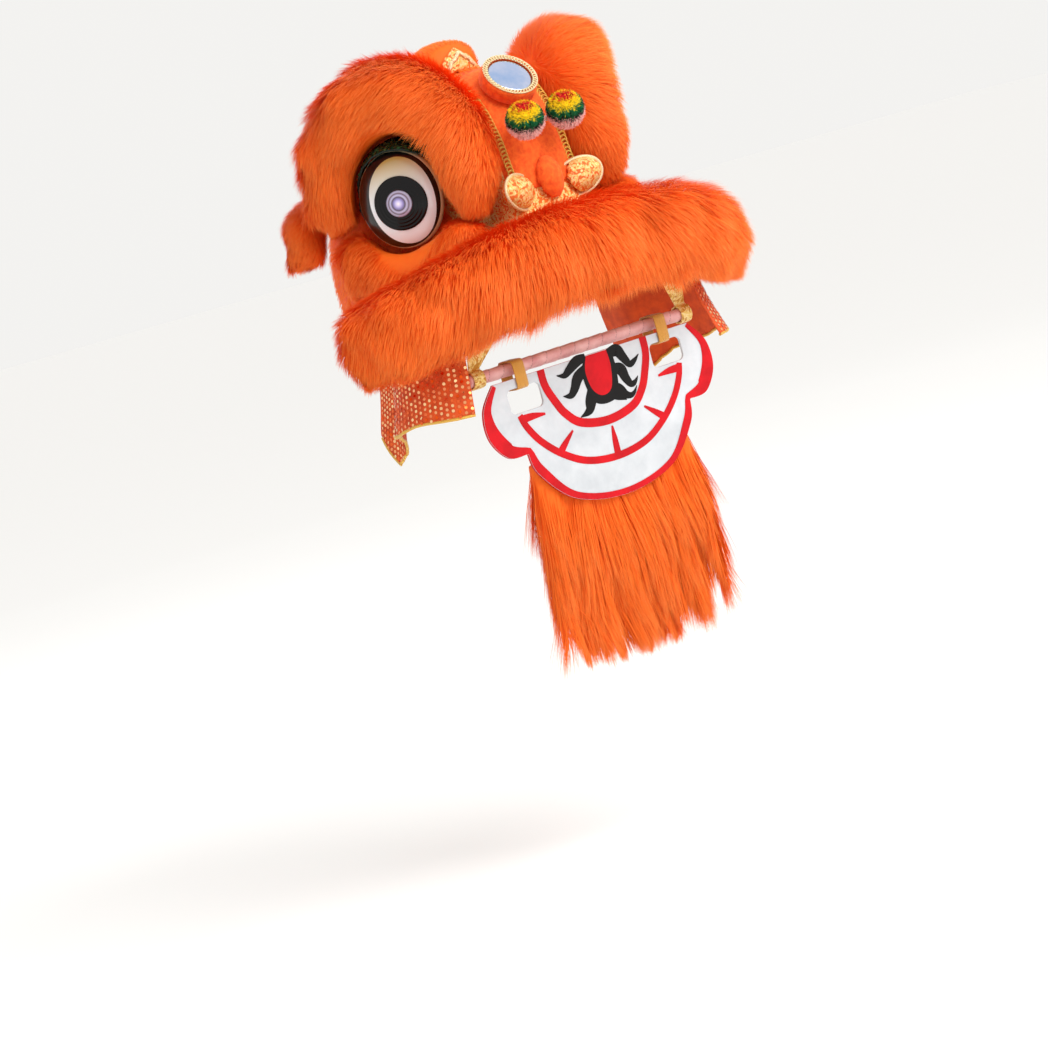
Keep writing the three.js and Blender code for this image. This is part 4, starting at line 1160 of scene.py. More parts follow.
# %% Nose
WING_AT = Vector((-50, -196, 184)) * MM
WING_HALF = Vector((36, 17, 25)) * MM
WING_TURN = math.radians(22)
WING_TILT = math.radians(14)
PIPING_SHARE = 0.95


def make_wing_piping(side, sign):
    turned_out = Matrix.Rotation(WING_TURN, 4, "Z") @ Matrix.Rotation(WING_TILT, 4, "Y")
    place = Matrix.Translation(WING_AT) @ turned_out
    wide, tall = PIPING_SHARE * WING_HALF.x, PIPING_SHARE * WING_HALF.z
    points = []
    for turn in np.linspace(0, 2 * math.pi, 72, endpoint=False):
        spot = place @ Vector((wide * math.cos(turn), -2 * MM, tall * math.sin(turn)))
        points.append((sign * spot.x, spot.y, spot.z))
    return tube(f"nose_piping_{side}", points, 2.2 * MM, CREAM, closed=True)


bridge = linked("nose_plush", stuffed("nose_bridge", SKIN_VOXEL, SKIN_ROUNDS), PLUSH)
present(bridge, "head", "plush", "nose_bridge")
for side, sign in SIDES.items():
    wing = linked(f"nose_brocade_{side}", stuffed(f"nose_wing_{side}", SKIN_VOXEL, SKIN_ROUNDS), BROCADE)
    present(wing, "head", "brocade", f"nose_wing_{side}")
    present(make_wing_piping(side, sign), "head", "braid")

# %% [markdown]
# Two pompoms shake on springs above the nose. The wool is cut in bands: a red spot on top, then yellow,
# green, black and a pale base. The spring is a circle of wire that is spun and raised at the same time.

# %% Pompoms
POMPOM_RADIUS = 31 * MM
POMPOM_PILE = 9 * MM
POMPOM_TOP = np.array([-0.3, -0.55, 0.78])
POMPOM_STRANDS = 9000
POMPOM_WIDTH = 1.1 * MM
WOOL_BANDS = [0.92, 0.58, 0.27, 0.06]
SPRING_RADIUS = 3.1 * MM
WIRE_RADIUS = 0.8 * MM
SPRING_PITCH = 3.4 * MM
SPRING_FOOT = Vector((-23, -120, 262)) * MM


def wool_band(ways, rng):
    """The number of the band of wool that each way out of the ball falls in, with uneven edges."""
    height = ways @ unit(POMPOM_TOP) + 0.1 * drift(ways, 0.25, rng) + 0.05 * rng.normal(size=len(ways))
    above = [height > edge for edge in WOOL_BANDS]
    return np.select(above, list(range(len(above))), len(above))


def make_pompom(side):
    rng = np.random.default_rng(91)
    low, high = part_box(f"pompom_{side}")
    centre = np.array((low + high) / 2)
    ball = bmesh.new()
    bmesh.ops.create_icosphere(ball, subdivisions=4, radius=POMPOM_RADIUS - POMPOM_PILE)
    bmesh.ops.translate(ball, verts=ball.verts, vec=Vector(centre))
    mesh = worked(ball)
    surface = arrays_of(mesh)
    places, ways = roots_on(surface, POMPOM_STRANDS, rng)
    comb = rng.normal(size=places.shape)
    points, shading, strip = grow(places, ways, comb, POMPOM_PILE * 1.2, POMPOM_WIDTH, 0.94, rng,
                                  gather=0.25, tuft=6)
    base = list(base_arrays(surface, 0, rng))
    base[3][:, 0] += wool_band(surface[1], rng) / TONES
    coat = strand_arrays(points, shading, wool_band(ways, rng)[:, None])
    return joined(f"pompom_wool_{side}", [tuple(base), coat], WOOLLY)


def steel_finish():
    return Finish("spring steel", roughness=0.3, Metallic=1.0, Base_Color=srgb(196, 196, 196)).material


STEEL = steel_finish()


def make_spring(side, sign):
    low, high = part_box(f"pompom_{side}")
    centre = (low + high) / 2
    foot = Vector((sign * SPRING_FOOT.x, SPRING_FOOT.y, SPRING_FOOT.z))
    way = (centre - foot).normalized()
    reach = max((centre - vertex.co).dot(way) for vertex in nodes[f"pompom_stem_{side}"].data.vertices)
    rise = reach - (POMPOM_RADIUS - POMPOM_PILE) + 2 * MM
    turns = rise / SPRING_PITCH
    steps = round(turns * 16)
    coil = bmesh.new()
    bmesh.ops.create_circle(coil, segments=8, radius=WIRE_RADIUS)
    bmesh.ops.rotate(coil, verts=coil.verts, matrix=Matrix.Rotation(math.pi / 2, 3, "X"))
    bmesh.ops.translate(coil, verts=coil.verts, vec=(SPRING_RADIUS, 0, 0))
    bmesh.ops.spin(coil, geom=coil.verts[:] + coil.edges[:], cent=(0, 0, 0), axis=(0, 0, 1),
                   dvec=(0, 0, rise / steps), angle=2 * math.pi * turns, steps=steps)
    bmesh.ops.holes_fill(coil, edges=coil.edges)
    bmesh.ops.recalc_face_normals(coil, faces=coil.faces)
    place = Matrix.Translation(centre - way * reach) @ way.to_track_quat("Z", "Y").to_matrix().to_4x4()
    bmesh.ops.transform(coil, matrix=place, verts=coil.verts)
    return from_bmesh(f"spring_{side}", coil, STEEL)


for side, sign in SIDES.items():
    pompom = present(make_pompom(side), "head", "pompom_wool", f"pompom_{side}")
    present(make_spring(side, sign), "head", "spring_steel", f"pompom_stem_{side}")

# %% [markdown]
# Each eye is a painted dome on a short drum, with a pin through it that the lid turns on.
# The white is an oval that sits a little towards the nose, inside a black ring and a thin cream edge. Its top
# turns tan: painted shade from the brow and the lid. Numbers stored on the mesh tell the finish how far each
# point lies from the middle of the oval and of the dome, and how high it is.

# %% Eyes
EYE_HALF = Vector((58, 30, 66)) * MM
EYE_BASE = 30 * MM
DRUM_RADIUS = 32 * MM
DRUM_DEPTH = 51 * MM
PIN_RADIUS = 2.6 * MM
PIN_HALF = 69 * MM
WHITE_AT = (7 * MM, -2 * MM)
WHITE_HALF = (44 * MM, 58 * MM)


def eye_place(sign):
    """The frame of an eye: X to the nose on the lion's right, out of the head along minus Y."""
    turn = math.atan2(NOSEWARD[1], NOSEWARD[0])
    place = Matrix.Translation(Vector(EYE_AT)) @ Matrix.Rotation(turn, 4, "Z")
    return Matrix.Diagonal((sign, 1, 1, 1)) @ place


def placed(shape, sign):
    bmesh.ops.transform(shape, matrix=eye_place(sign), verts=shape.verts)
    if sign < 0:
        bmesh.ops.reverse_faces(shape, faces=shape.faces)
    return shape


def eye_finish():
    finish = Finish("painted eye", roughness=0.28, Coat_Weight=0.5)
    oval = finish.add("ShaderNodeAttribute", attribute_name="oval").outputs["Fac"]
    rim = finish.add("ShaderNodeAttribute", attribute_name="rim").outputs["Fac"]
    top_shade = finish.add("ShaderNodeAttribute", attribute_name="height").outputs["Fac"]
    # The white turns tan towards the top of the eye: painted shade that the brow and the lid cast on it.
    white = finish.ramp(top_shade, (0.5, srgb(240, 244, 248)), (0.9, srgb(190, 158, 84)))
    inner = finish.math("LESS_THAN", oval, 1.0)
    edge = finish.math("GREATER_THAN", rim, 0.965)
    painted = finish.blend(inner, srgb(14, 12, 12), white)
    finish.feed(Base_Color=finish.blend(edge, painted, srgb(228, 208, 164)))
    return finish.material


EYE_PAINT = eye_finish()


def make_eye(side, sign):
    shape = bmesh.new()
    bmesh.ops.create_uvsphere(shape, u_segments=96, v_segments=48, radius=1)
    bmesh.ops.rotate(shape, verts=shape.verts, matrix=Matrix.Rotation(math.pi / 2, 3, "X"))
    bmesh.ops.bisect_plane(shape, geom=shape.verts[:] + shape.edges[:] + shape.faces[:],
                           plane_co=(0, 0, 0), plane_no=(0, 1, 0), clear_outer=True)
    bmesh.ops.scale(shape, verts=shape.verts, vec=EYE_HALF)
    bmesh.ops.translate(shape, verts=shape.verts, vec=(0, -EYE_BASE, 0))
    rim = [edge for edge in shape.edges if edge.is_boundary]
    made = bmesh.ops.extrude_edge_only(shape, edges=rim)["geom"]
    skirt = [part for part in made if isinstance(part, bmesh.types.BMVert)]
    bmesh.ops.translate(shape, verts=skirt, vec=(0, 3 * MM, 0))
    bmesh.ops.holes_fill(shape, edges=shape.edges)
    drum = bmesh.ops.create_cone(shape, cap_ends=True, segments=48, radius1=DRUM_RADIUS, radius2=DRUM_RADIUS,
                                 depth=DRUM_DEPTH, matrix=Matrix.Rotation(math.pi / 2, 4, "X"))["verts"]
    bmesh.ops.translate(shape, verts=drum, vec=(0, DRUM_DEPTH / 2 - EYE_BASE, 0))
    bmesh.ops.create_cone(shape, cap_ends=True, segments=16, radius1=PIN_RADIUS, radius2=PIN_RADIUS,
                          depth=2 * PIN_HALF, matrix=Matrix.Rotation(math.pi / 2, 4, "Y"))
    bmesh.ops.recalc_face_normals(shape, faces=shape.faces)
    spots = np.array([vertex.co[:] for vertex in shape.verts])
    oval = np.hypot((spots[:, 0] - WHITE_AT[0]) / WHITE_HALF[0], (spots[:, 2] - WHITE_AT[1]) / WHITE_HALF[1])
    rim_share = np.hypot(spots[:, 0] / EYE_HALF.x, spots[:, 2] / EYE_HALF.z)
    # How high each point is, which places the painted shade on the upper white.
    height = 0.5 + 0.5 * spots[:, 2] / EYE_HALF.z
    piece = from_bmesh(f"eye_white_{side}", placed(shape, sign), EYE_PAINT)
    point_numbers(piece.data, "oval", oval)
    point_numbers(piece.data, "rim", rim_share)
    point_numbers(piece.data, "height", height)
    return piece


for side, sign in SIDES.items():
    present(make_eye(side, sign), "head", "eye_white", f"eye_{side}")

# %% [markdown]
# The iris is a glossy black disc with turned rings, and the pupil a domed glass in its middle.
# Both are turned flat and then laid on the curve of the eye, point by point, because the dome is an oval that
# a round disc would not sit on. The glass has rings of pale violet, as if light were caught inside it.

# %% Irises and pupils
IRIS_AT = Vector((6, 0, -5)) * MM
IRIS_RADIUS = 36 * MM
PUPIL_RADIUS = 18 * MM


def dome_depth(x, z):
    share = 1 - (x / EYE_HALF.x) ** 2 - (z / EYE_HALF.z) ** 2
    return -EYE_BASE - EYE_HALF.y * math.sqrt(max(share, 0))


def make_disc(name, profile, radius, sign, material):
    """A round disc that is laid on the curve of the eye."""
    disc = turned(profile, 72)
    reach = [vertex.co.to_2d().length / radius for vertex in disc.verts]
    for vertex in disc.verts:
        x = vertex.co.x + IRIS_AT.x
        z = vertex.co.y + IRIS_AT.z
        vertex.co = Vector((x, dome_depth(x, z) - vertex.co.z, z))
    bmesh.ops.recalc_face_normals(disc, faces=disc.faces)
    piece = from_bmesh(name, placed(disc, sign), material)
    point_numbers(piece.data, "reach", reach)
    return piece


def iris_profile():
    rows = [(0.0, 0.3 * MM), (IRIS_RADIUS, 0.3 * MM)]
    for share in np.linspace(1, 0, 46):
        ridge = 0.45 * MM * math.sin(share * 8 * math.pi) ** 2
        rows.append((share * IRIS_RADIUS, 2.4 * MM + ridge))
    return rows


def pupil_profile():
    rows = [(0.0, 3.4 * MM), (PUPIL_RADIUS, 3.4 * MM)]
    rows += [(share * PUPIL_RADIUS, (4.4 + 2.4 * (1 - share ** 2)) * MM) for share in np.linspace(1, 0, 14)]
    return rows


def iris_finish():
    return Finish("black gloss", roughness=0.2, Base_Color=srgb(10, 8, 9), Specular_IOR_Level=0.25).material


def pupil_finish():
    finish = Finish("pupil glass", roughness=0.08, Coat_Weight=1.0)
    reach = finish.add("ShaderNodeAttribute", attribute_name="reach").outputs["Fac"]
    # The pale violet rings and the near-white middle are painted light caught in the glass; the darker rings
    # between them are the glass's own colour.
    finish.feed(Base_Color=finish.ramp(
        reach,
        (0.0, srgb(255, 250, 255)), (0.18, srgb(214, 206, 250)), (0.34, srgb(150, 140, 206)),
        (0.5, srgb(70, 44, 66)), (0.62, srgb(196, 190, 226)), (0.76, srgb(96, 66, 82)),
        (0.88, srgb(178, 170, 200)), (1.0, srgb(40, 26, 34)),
    ))
    return finish.material


GLOSS = iris_finish()
GLASS = pupil_finish()
for side, sign in SIDES.items():
    iris = make_disc(f"iris_disc_{side}", iris_profile(), IRIS_RADIUS, sign, GLOSS)
    present(iris, "head", "iris_black", f"iris_{side}")
    pupil = make_disc(f"pupil_glass_{side}", pupil_profile(), PUPIL_RADIUS, sign, GLASS)
    present(pupil, "head", "pupil_glass", f"pupil_{side}")

# %% [markdown]
# The lids are sequined cloth on a stiff curved strip. A sequin is a shallow six-sided cup, and all the
# sequins of a piece are joined in one mesh. Each one is tipped a little at random, which makes them glitter.

# %% Sequins and lids
def sequin_finish(name, dark, light, metallic):
    finish, tone, along = strand_finish(name)
    finish.feed(Metallic=metallic, Roughness=0.22, Specular_IOR_Level=0.5)
    finish.feed(Base_Color=finish.ramp(tone, (0.0, dark), (1.0, light)))
    return finish.material


def sequins(name, places, ways, radius, rng, material):
    count = len(places)
    ways = unit(ways + 0.14 * rng.normal(size=(count, 3)))
    first = unit(np.cross(ways, np.array([0.31, 0.52, 0.8])))
    second = np.cross(ways, first)
    turns = np.arange(6) * math.pi / 3
    cosines, sines = np.cos(turns)[None, :, None], np.sin(turns)[None, :, None]
    ring = radius * (cosines * first[:, None] + sines * second[:, None])
    brim = places[:, None] + ring + 0.7 * MM * ways[:, None]
    middle = (places + 0.4 * MM * ways)[:, None]
    points = np.concatenate([brim, middle], axis=1)
    fan = np.array([[i, (i + 1) % 6, 6] for i in range(6)])
    triangles = (fan[None] + 7 * np.arange(count)[:, None, None]).reshape(-1, 3)
    strip = rng.integers(0, TONES, (count, 1))
    across = (strip + 0.5 + 0.3 * np.append(np.cos(turns), 0)[None]) / TONES
    along = np.tile(0.5 + 0.4 * np.append(np.sin(turns), 0)[None], (count, 1))
    spots = np.stack([across, along], axis=2).reshape(-1, 2)
    return joined(name, [(points.reshape(-1, 3), np.repeat(ways, 7, axis=0), triangles, spots)], material)


def spaced(places, ways, gap):
    """The places that are left when none may be nearer to an earlier one than a gap."""
    tree = kdtree.KDTree(len(places))
    for index, place in enumerate(places):
        tree.insert(place, index)
    tree.balance()
    taken = np.ones(len(places), bool)
    for index, place in enumerate(places):
        if taken[index]:
            for spot, other, far in tree.find_range(place, gap):
                if other > index:
                    taken[other] = False
    return places[taken], ways[taken]


GREEN_SEQUIN = sequin_finish("green sequins", srgb(4, 44, 28), srgb(70, 160, 104), 0.6)


def make_lid(side):
    finish = Finish("dark green cloth", roughness=0.7, Base_Color=srgb(8, 34, 22))
    mesh = worked(
        merged_copy(f"eyelid_{side}"),
        edge_bevel(0.4 * MM, 40),
    )
    return linked(f"lid_{side}", mesh, finish.material)


def make_lid_sequins(lid, side, sign):
    rng = np.random.default_rng(101)
    centre = EYE_AT * (FLIP if sign < 0 else 1)

    def keep(places, ways):
        offset = places - centre
        return (offset * ways).sum(axis=1) > 0.8 * np.linalg.norm(offset, axis=1)

    places, ways = roots_on(arrays_of(lid.data), 9000, rng, keep=keep)
    places, ways = spaced(places, ways, 4.2 * MM)
    return sequins(f"lid_sequins_{side}", places, ways, 2.6 * MM, rng, GREEN_SEQUIN)


for side, sign in SIDES.items():
    lid = present(make_lid(side), f"lid_{side}", "lid_sequin", f"eyelid_{side}")
    present(make_lid_sequins(lid, side, sign), f"lid_{side}", "lid_sequin")

# %% [markdown]
# A bar across the mouth carries the jaw. It is wound with pink tape: the turned rod is raised slightly along
# a spiral, so that each turn of tape laps over the last. Two loops of amber ribbon hang from it.

# %% Bar and ribbon loops
BAR_AT = Vector((0, -172, -36)) * MM
BAR_RADIUS = 9 * MM
BAR_HALF = 190 * MM
TAPE_PITCH = 24 * MM
TAPE_LAP = 0.7 * MM


def make_bar():
    heights = np.linspace(-BAR_HALF, BAR_HALF, 260)
    core = BAR_RADIUS - TAPE_LAP
    profile = [(0, -BAR_HALF)] + [(core, height) for height in heights] + [(0, BAR_HALF)]
    rod = turned(profile, 40)
    laps = []
    for vertex in rod.verts:
        reach = vertex.co.to_2d().length
        turn = math.atan2(vertex.co.y, vertex.co.x) / (2 * math.pi)
        laps.append((vertex.co.z / TAPE_PITCH + turn) % 1)
        if reach > 0.5 * core:
            grown = (core + TAPE_LAP * laps[-1]) / reach
            vertex.co.x *= grown
            vertex.co.y *= grown
    bmesh.ops.rotate(rod, verts=rod.verts, matrix=Matrix.Rotation(math.pi / 2, 3, "Y"))
    bmesh.ops.translate(rod, verts=rod.verts, vec=BAR_AT)
    bmesh.ops.recalc_face_normals(rod, faces=rod.faces)
    finish = Finish("pink tape", roughness=0.5)
    worn = finish.effect(MOTTLE, Vector=finish.place(), Scale=45.0)["Value"]
    tape = finish.ramp(worn, (0.3, srgb(222, 152, 150)), (0.7, srgb(248, 200, 194)))
    seam = finish.add("ShaderNodeAttribute", attribute_name="lap").outputs["Fac"]
    unshaded = srgb(255, 255, 255)
    # Each turn of tape is darker just where it starts, at the foot of the lap: painted shade in the crease
    # under the turn that laps over it.
    line = finish.ramp(seam, (0.0, srgb(150, 96, 96)), (0.1, unshaded), (0.96, unshaded))
    finish.feed(Base_Color=finish.blend(1.0, tape, line, "MULTIPLY"))
    finish.bump(finish.effect(MOTTLE, Vector=finish.place(), Scale=240.0)["Value"], 0.3, 0.4 * MM)
    piece = from_bmesh("taped_bar", rod, finish.material)
    point_numbers(piece.data, "lap", laps)
    return piece


def ribbon_finish():
    finish = Finish("amber ribbon", roughness=0.45, Sheen_Weight=0.3)
    threads = finish.effect(WEAVE, Vector=finish.place(), Scale=700.0)["Height"]
    finish.feed(Base_Color=finish.ramp(threads, (0.2, srgb(164, 96, 8)), (0.9, srgb(224, 158, 40))))
    finish.bump(threads, 0.5, 0.4 * MM)
    return finish.material


RIBBON_CLOTH = ribbon_finish()
present(make_bar(), "head", "bar_tape", "jaw_bar")
for side in SIDES:
    loop = worked(
        merged_copy(f"strap_{side}"),
        edge_bevel(0.5 * MM, 50),
    )
    loop = present(linked(f"ribbon_loop_{side}", loop, RIBBON_CLOTH), "jaw", "webbing", f"strap_{side}")

# %% [markdown]
# The jaw is a white board, cut in three lobes, with two slots for the ribbon loops.
# Its outline passes through a few points on a smooth curve, and each point also says how wide the painted
# edge is there. The outline and the slots are filled in one go, which leaves the slots open, and the flat
# shape is then given its thickness and a small bevel. The board is white, and its outer edge is red.

# %% Jaw board
RED = srgb(204, 10, 24)
BLACK = srgb(18, 16, 16)
BOARD_FRONT = BAR_AT.y - 19 * MM
BOARD_THICK = 4 * MM
BOARD_TOP = BAR_AT.z - 12 * MM
SLOT = {"x": 122, "half": 27, "top": -13, "bottom": -46, "corner": 8}
HALF_OUTLINE = [
    (168, 0, 6), (192, -30, 12), (194, -68, 20), (172, -98, 19),
    (141, -101, 9), (132, -132, 13), (84, -178, 9), (0, -195, 8),
]


def spline(rows, steps=10):
    """A smooth curve through rows of numbers."""
    rows = np.array(rows, float)
    last = len(rows) - 1
    curve = []
    for i in range(last):
        before, start, end, after = rows[max(i - 1, 0)], rows[i], rows[i + 1], rows[min(i + 2, last)]
        leave, arrive = (end - before) / 2, (after - start) / 2
        for t in np.linspace(0, 1, steps, endpoint=False):
            bend = (2 * (start - end) + leave + arrive) * t ** 3
            curve.append(bend + (3 * (end - start) - 2 * leave - arrive) * t ** 2 + leave * t + start)
    return np.array(curve + [rows[-1]])


def board_outline():
    mirror = [(-x, z, band) for x, z, band in reversed(HALF_OUTLINE)]
    upper, lower, other = HALF_OUTLINE[:5], HALF_OUTLINE[4:] + mirror[1:4], mirror[3:]
    return np.concatenate([spline(upper)[:-1], spline(lower)[:-1], spline(other)])


def slot_outline(x):
    corner = SLOT["corner"]
    wide, tall = SLOT["half"] - corner, (SLOT["top"] - SLOT["bottom"]) / 2 - corner
    middle = (SLOT["top"] + SLOT["bottom"]) / 2
    turns = np.radians(np.arange(7.5, 360, 15))
    return [
        (x + math.copysign(wide, math.cos(t)) + corner * math.cos(t),
         middle + math.copysign(tall, math.sin(t)) + corner * math.sin(t))
        for t in turns
    ]


def on_board(x, z, lift=0.0):
    return Vector((x * MM, BOARD_FRONT - lift, BOARD_TOP + z * MM))


def paint_finish(name, colour):
    finish = Finish(name, roughness=0.45, Specular_IOR_Level=0.2)
    shade = finish.effect(MOTTLE, Vector=finish.place(), Scale=38.0)["Value"]
    dark = tuple(0.72 * part for part in colour[:3]) + (1,)
    finish.feed(Base_Color=finish.ramp(shade, (0.28, dark), (0.6, colour)))
    return finish.material


def make_board():
    shape = bmesh.new()
    edges = []
    for loop in (board_outline(), slot_outline(-SLOT["x"]), slot_outline(SLOT["x"])):
        ring = [shape.verts.new(on_board(row[0], row[1])) for row in loop]
        edges += [shape.edges.new(pair) for pair in zip(ring, ring[1:] + ring[:1])]
    bmesh.ops.triangle_fill(shape, edges=edges, use_beauty=True, normal=(0, -1, 0))
    made = bmesh.ops.extrude_face_region(shape, geom=shape.faces[:])["geom"]
    back = [part for part in made if isinstance(part, bmesh.types.BMVert)]
    bmesh.ops.translate(shape, verts=back, vec=(0, BOARD_THICK, 0))
    bmesh.ops.recalc_face_normals(shape, faces=shape.faces)
    sharp = [edge for edge in shape.edges if edge.calc_face_angle(0) > math.radians(60)]
    bmesh.ops.bevel(shape, geom=sharp, offset=0.6 * MM, affect="EDGES", segments=2, profile=0.5, material=-1)
    finish = Finish("white board paint", roughness=0.38)
    grain = finish.effect(MOTTLE, Vector=finish.place(), Scale=30.0)["Value"]
    finish.feed(Base_Color=finish.ramp(grain, (0.3, srgb(190, 194, 198)), (0.7, srgb(208, 211, 214))))
    piece = from_bmesh("board", shape, finish.material)
    piece.data.set_sharp_from_angle(angle=math.radians(35))
    piece.data.materials.append(paint_finish("red edge paint", RED))
    for face in piece.data.polygons:
        in_slot = abs(abs(face.center.x) - SLOT["x"] * MM) < (SLOT["half"] + 2) * MM
        in_slot &= SLOT["bottom"] - 2 < (face.center.z - BOARD_TOP) / MM < SLOT["top"] + 2
        if abs(face.normal.y) < 0.9 and not in_slot:
            face.material_index = 1
    return piece


present(make_board(), "jaw", "board_paint", "jaw_board")

# %% [markdown]
# The board is painted by hand: a red edge, a red gum line, a row of teeth, and a red tongue among black
# flames. Each stroke is a thin ribbon of paint on the board, along a curve with its own width, so its edges
# stay sharp and catch the light a little. The places are in millimetres from the middle of the top edge.

# %% Paint on the board
GUM = [(88, 0, 12), (87, -22, 12), (78, -45, 12), (66, -66, 12), (44, -84, 12), (0, -92, 12)]
TEETH_LINE = [(138, -49, 9), (132, -66, 10), (116, -90, 10), (88, -115, 10), (50, -135, 10), (0, -142, 10)]
TOOTH_GAPS = [[(136, -55, 11), (118, -55, 9), (98, -57, 3)], [(92, -114, 11), (80, -104, 9), (62, -90, 3)]]
MIDDLE_GAP = [(0, -139, 11), (1, -120, 9), (2, -101, 3)]
TONGUE = [(-11, -1), (-18, -21), (-14, -46), (0, -58), (17, -52), (25, -24), (24, -1)]
HALO = [(-14, -1), (-24, -22), (-21, -50), (-12, -66), (8, -70), (26, -62), (33, -28), (31, -1)]
FLAMES = [
    [(-12, -2, 10), (-28, -4, 15), (-43, -12, 12), (-53, -17, 8), (-65, -14, 1)],
    [(-14, -16, 12), (-32, -25, 16), (-42, -38, 13), (-51, -45, 9), (-63, -43, 1)],
    [(-12, -44, 16), (-21, -60, 18), (-28, -72, 12), (-44, -77, 1)],
    [(16, -60, 14), (26, -66, 12), (37, -74, 1)],
    [(22, -8, 12), (40, -6, 17), (48, -17, 14), (56, -29, 10), (65, -27, 7), (75, -20, 1)],
    [(24, -28, 12), (39, -32, 17), (44, -45, 14), (50, -55, 10), (57, -55, 7), (65, -48, 1)],
    [(18, -50, 14), (30, -58, 15), (38, -67, 11), (46, -70, 8), (53, -67, 5), (59, -60, 1)],
]
COAT = 0.025 * MM
RED_LIFT = 0.4 * MM
BLACK_LIFT = 0.4 * MM
TONGUE_LIFT = 0.5 * MM


def stroke(shape, rows, lift):
    """A ribbon of paint along a curve of places and widths."""
    path = spline(rows)
    steps = len(path) - 1
    way = unit(np.gradient(path[:, :2], axis=0))
    made = bmesh.ops.create_grid(shape, x_segments=1, y_segments=steps, size=0.5)["verts"]
    for vertex in made:
        i = round((vertex.co.y + 0.5) * steps)
        aside = vertex.co.x * path[i, 2]
        vertex.co = on_board(path[i, 0] - aside * way[i, 1], path[i, 1] + aside * way[i, 0], lift)


def mirror_rows(rows):
    return [(-x, z, wide) for x, z, wide in rows]


def whole(rows):
    """A stroke of both halves, from one half that ends in the middle."""
    return rows + mirror_rows(rows[-2::-1])


def painted(name, shape, colour):
    for face in shape.faces:
        if face.normal.y > 0:
            face.normal_flip()
    return from_bmesh(name, shape, paint_finish(name.replace("_", " "), colour))


def make_red_paint():
    shape = bmesh.new()
    stroke(shape, whole(GUM), RED_LIFT)
    stroke(shape, whole(TEETH_LINE), RED_LIFT)
    for gap in TOOTH_GAPS + [mirror_rows(gap) for gap in TOOTH_GAPS] + [MIDDLE_GAP]:
        stroke(shape, gap, RED_LIFT - COAT)
    outline = board_outline()
    way = unit(np.gradient(outline[:, :2], axis=0))
    outside = bmesh.ops.create_grid(shape, x_segments=1, y_segments=len(outline) - 1, size=0.5)["verts"]
    for vertex in outside:
        i = round((vertex.co.y + 0.5) * (len(outline) - 1))
        deep = 0.4 + (0.5 + vertex.co.x) * outline[i, 2]
        x = outline[i, 0] + deep * way[i, 1]
        z = outline[i, 1] - deep * way[i, 0]
        vertex.co = on_board(x, z, RED_LIFT + COAT)
    tongue = [shape.verts.new(on_board(x, z, TONGUE_LIFT)) for x, z in spline(TONGUE)]
    shape.faces.new(tongue)
    bmesh.ops.recalc_face_normals(shape, faces=shape.faces)
    return painted("red_paint", shape, RED)


def make_black_paint():
    shape = bmesh.new()
    halo = [shape.verts.new(on_board(x, z, BLACK_LIFT)) for x, z in spline(HALO)]
    shape.faces.new(halo)
    for number, flame in enumerate(FLAMES):
        stroke(shape, flame, BLACK_LIFT - (number + 1) * COAT)
    bmesh.ops.recalc_face_normals(shape, faces=shape.faces)
    return painted("black_paint", shape, BLACK)


present(make_red_paint(), "jaw", "board_paint")
present(make_black_paint(), "jaw", "board_paint")

# %% [markdown]
# Gold cloth lines the sides of the mouth and is looped over the ends of the bar, which hangs from it.
# Each piece is a narrow strip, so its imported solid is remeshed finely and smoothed, which rounds its edges as
# folded cloth does.

# %% Mouth cloth
for side in SIDES:
    mouth = linked(f"mouth_cloth_{side}", softened(f"mouth_side_{side}", 1.2 * MM, 6), LINING)
    present(mouth, "head", "brocade", f"mouth_side_{side}")

# %% [markdown]
# A skirt of sequined cloth hangs from the rim of the dome on each side, cut to a point towards the back,
# with a gold cord along its hem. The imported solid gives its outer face, which is made finer and smoother
# and then as thick as cloth. The sequins sit in even rows, found by looking out from the head's axis.

# %% Side flaps
SEQUIN_GAP = 6.6 * MM
FLAP_SEQUIN = sequin_finish("orange sequins", srgb(236, 86, 14), srgb(255, 208, 150), 0.85)


def flap_finish():
    finish = Finish("orange mesh cloth", roughness=0.75)
    shade = finish.effect(MOTTLE, Vector=finish.place(), Scale=60.0)["Value"]
    finish.feed(Base_Color=finish.ramp(shade, (0.3, srgb(196, 62, 4)), (0.7, srgb(232, 88, 14))))
    finish.bump(finish.effect(WEAVE, Vector=finish.place(), Scale=500.0)["Height"], 0.4, 0.3 * MM)
    return finish.material


FLAP_CLOTH = flap_finish()


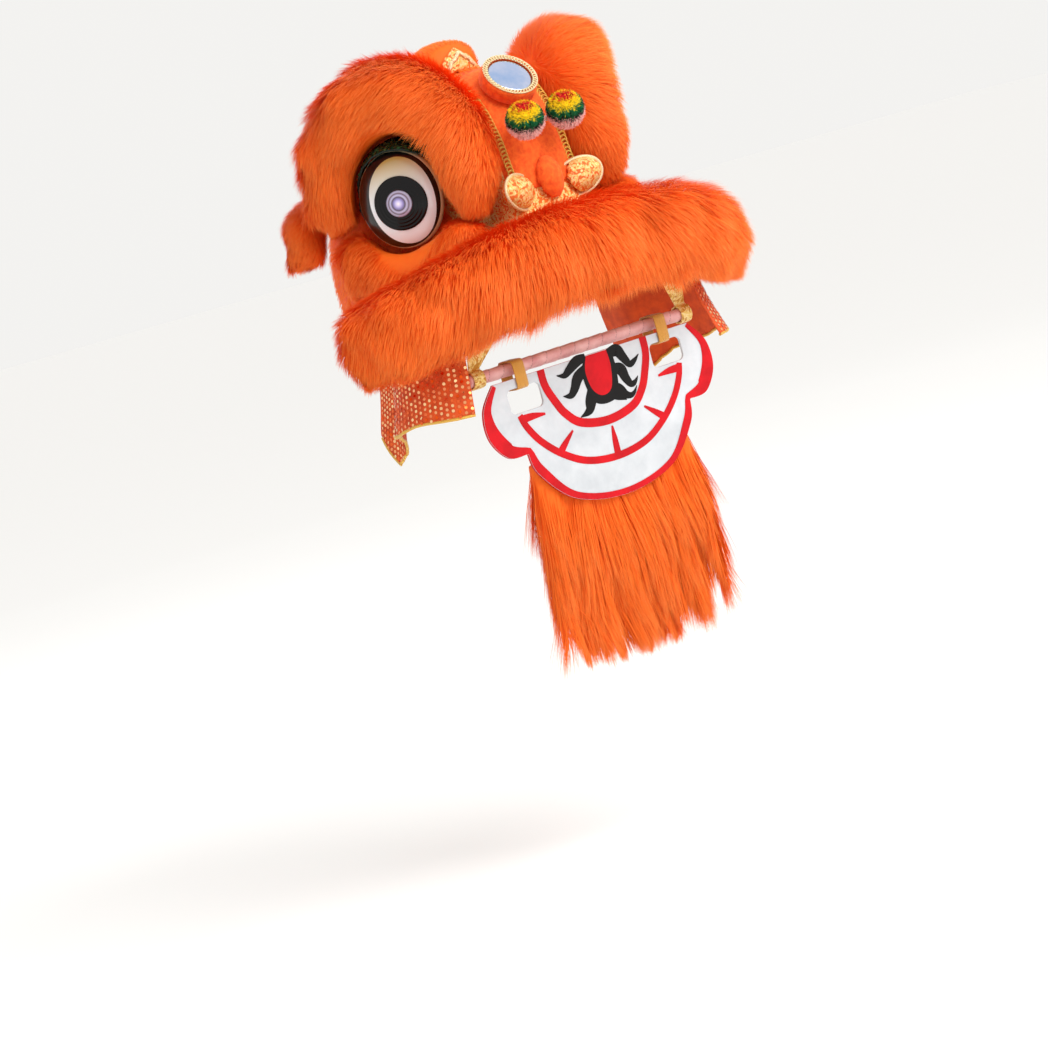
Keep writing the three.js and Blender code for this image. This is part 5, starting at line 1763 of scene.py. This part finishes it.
def make_flap(side):
    shape = merged_copy(f"side_flap_{side}")
    bmesh.ops.recalc_face_normals(shape, faces=shape.faces)
    heart = Vector(HEART)
    unwanted = []
    for face in shape.faces:
        out = face.calc_center_median() - heart
        out.z = 0
        if face.normal.dot(out.normalized()) < 0.35:
            unwanted.append(face)
    bmesh.ops.delete(shape, geom=unwanted, context="FACES")
    bmesh.ops.join_triangles(shape, faces=shape.faces[:], angle_face_threshold=1.0, angle_shape_threshold=3.1)
    mesh = worked(
        shape,
        ("SUBSURF", {"levels": 3, "render_levels": 3, "boundary_smooth": "PRESERVE_CORNERS"}),
        ("SOLIDIFY", {"thickness": 1.6 * MM, "offset": -1.0}),
    )
    return linked(f"flap_{side}", mesh, FLAP_CLOTH)


def flap_rows(flap):
    """Even places over the outside of a flap, in rows that are offset like bricks, and the ways they face."""
    points = arrays_of(flap.data)[0]
    turn = np.arctan2(points[:, 0], -(points[:, 1] - HEART[1]))
    tree = tree_for(flap)
    middle = np.hypot(points[:, 0], points[:, 1] - HEART[1]).mean()
    turns = np.arange(turn.min(), turn.max(), SEQUIN_GAP / middle)
    places, ways = [], []
    for number, angle in enumerate(turns):
        way = Vector((math.sin(angle), -math.cos(angle), 0))
        for height in np.arange(points[:, 2].max(), points[:, 2].min(), -SEQUIN_GAP):
            start = Vector((HEART[0], HEART[1], height - (number % 2) * SEQUIN_GAP / 2)) + way * 2 * middle
            met, normal, face, far = tree.ray_cast(start, -way, 1.6 * middle)
            if met is not None:
                places.append(met[:])
                ways.append(normal[:])
    return np.array(places), np.array(ways)


def flap_hem(flap):
    """The lower edge of a flap, from front to back."""
    points = arrays_of(flap.data)[0]
    turn = np.abs(np.arctan2(points[:, 0], -(points[:, 1] - HEART[1])))
    bins = np.linspace(turn.min() + 0.004, turn.max() - 0.004, 60)
    half = (bins[1] - bins[0]) * 0.75
    row = []
    for angle in bins:
        near = points[np.abs(turn - angle) < half]
        row.append(near[near[:, 2].argmin()])
    return np.array(row)


for side, sign in SIDES.items():
    rng = np.random.default_rng(121)
    flap = present(make_flap(side), "head", "flap_sequin", f"side_flap_{side}")
    places, ways = flap_rows(flap)
    dots = sequins(f"flap_sequins_{side}", places, ways, 2.3 * MM, rng, FLAP_SEQUIN)
    present(dots, "head", "flap_sequin")
    cord = present(tube(f"flap_cord_{side}", flap_hem(flap), 2.2 * MM, GOLD), "head", "braid")
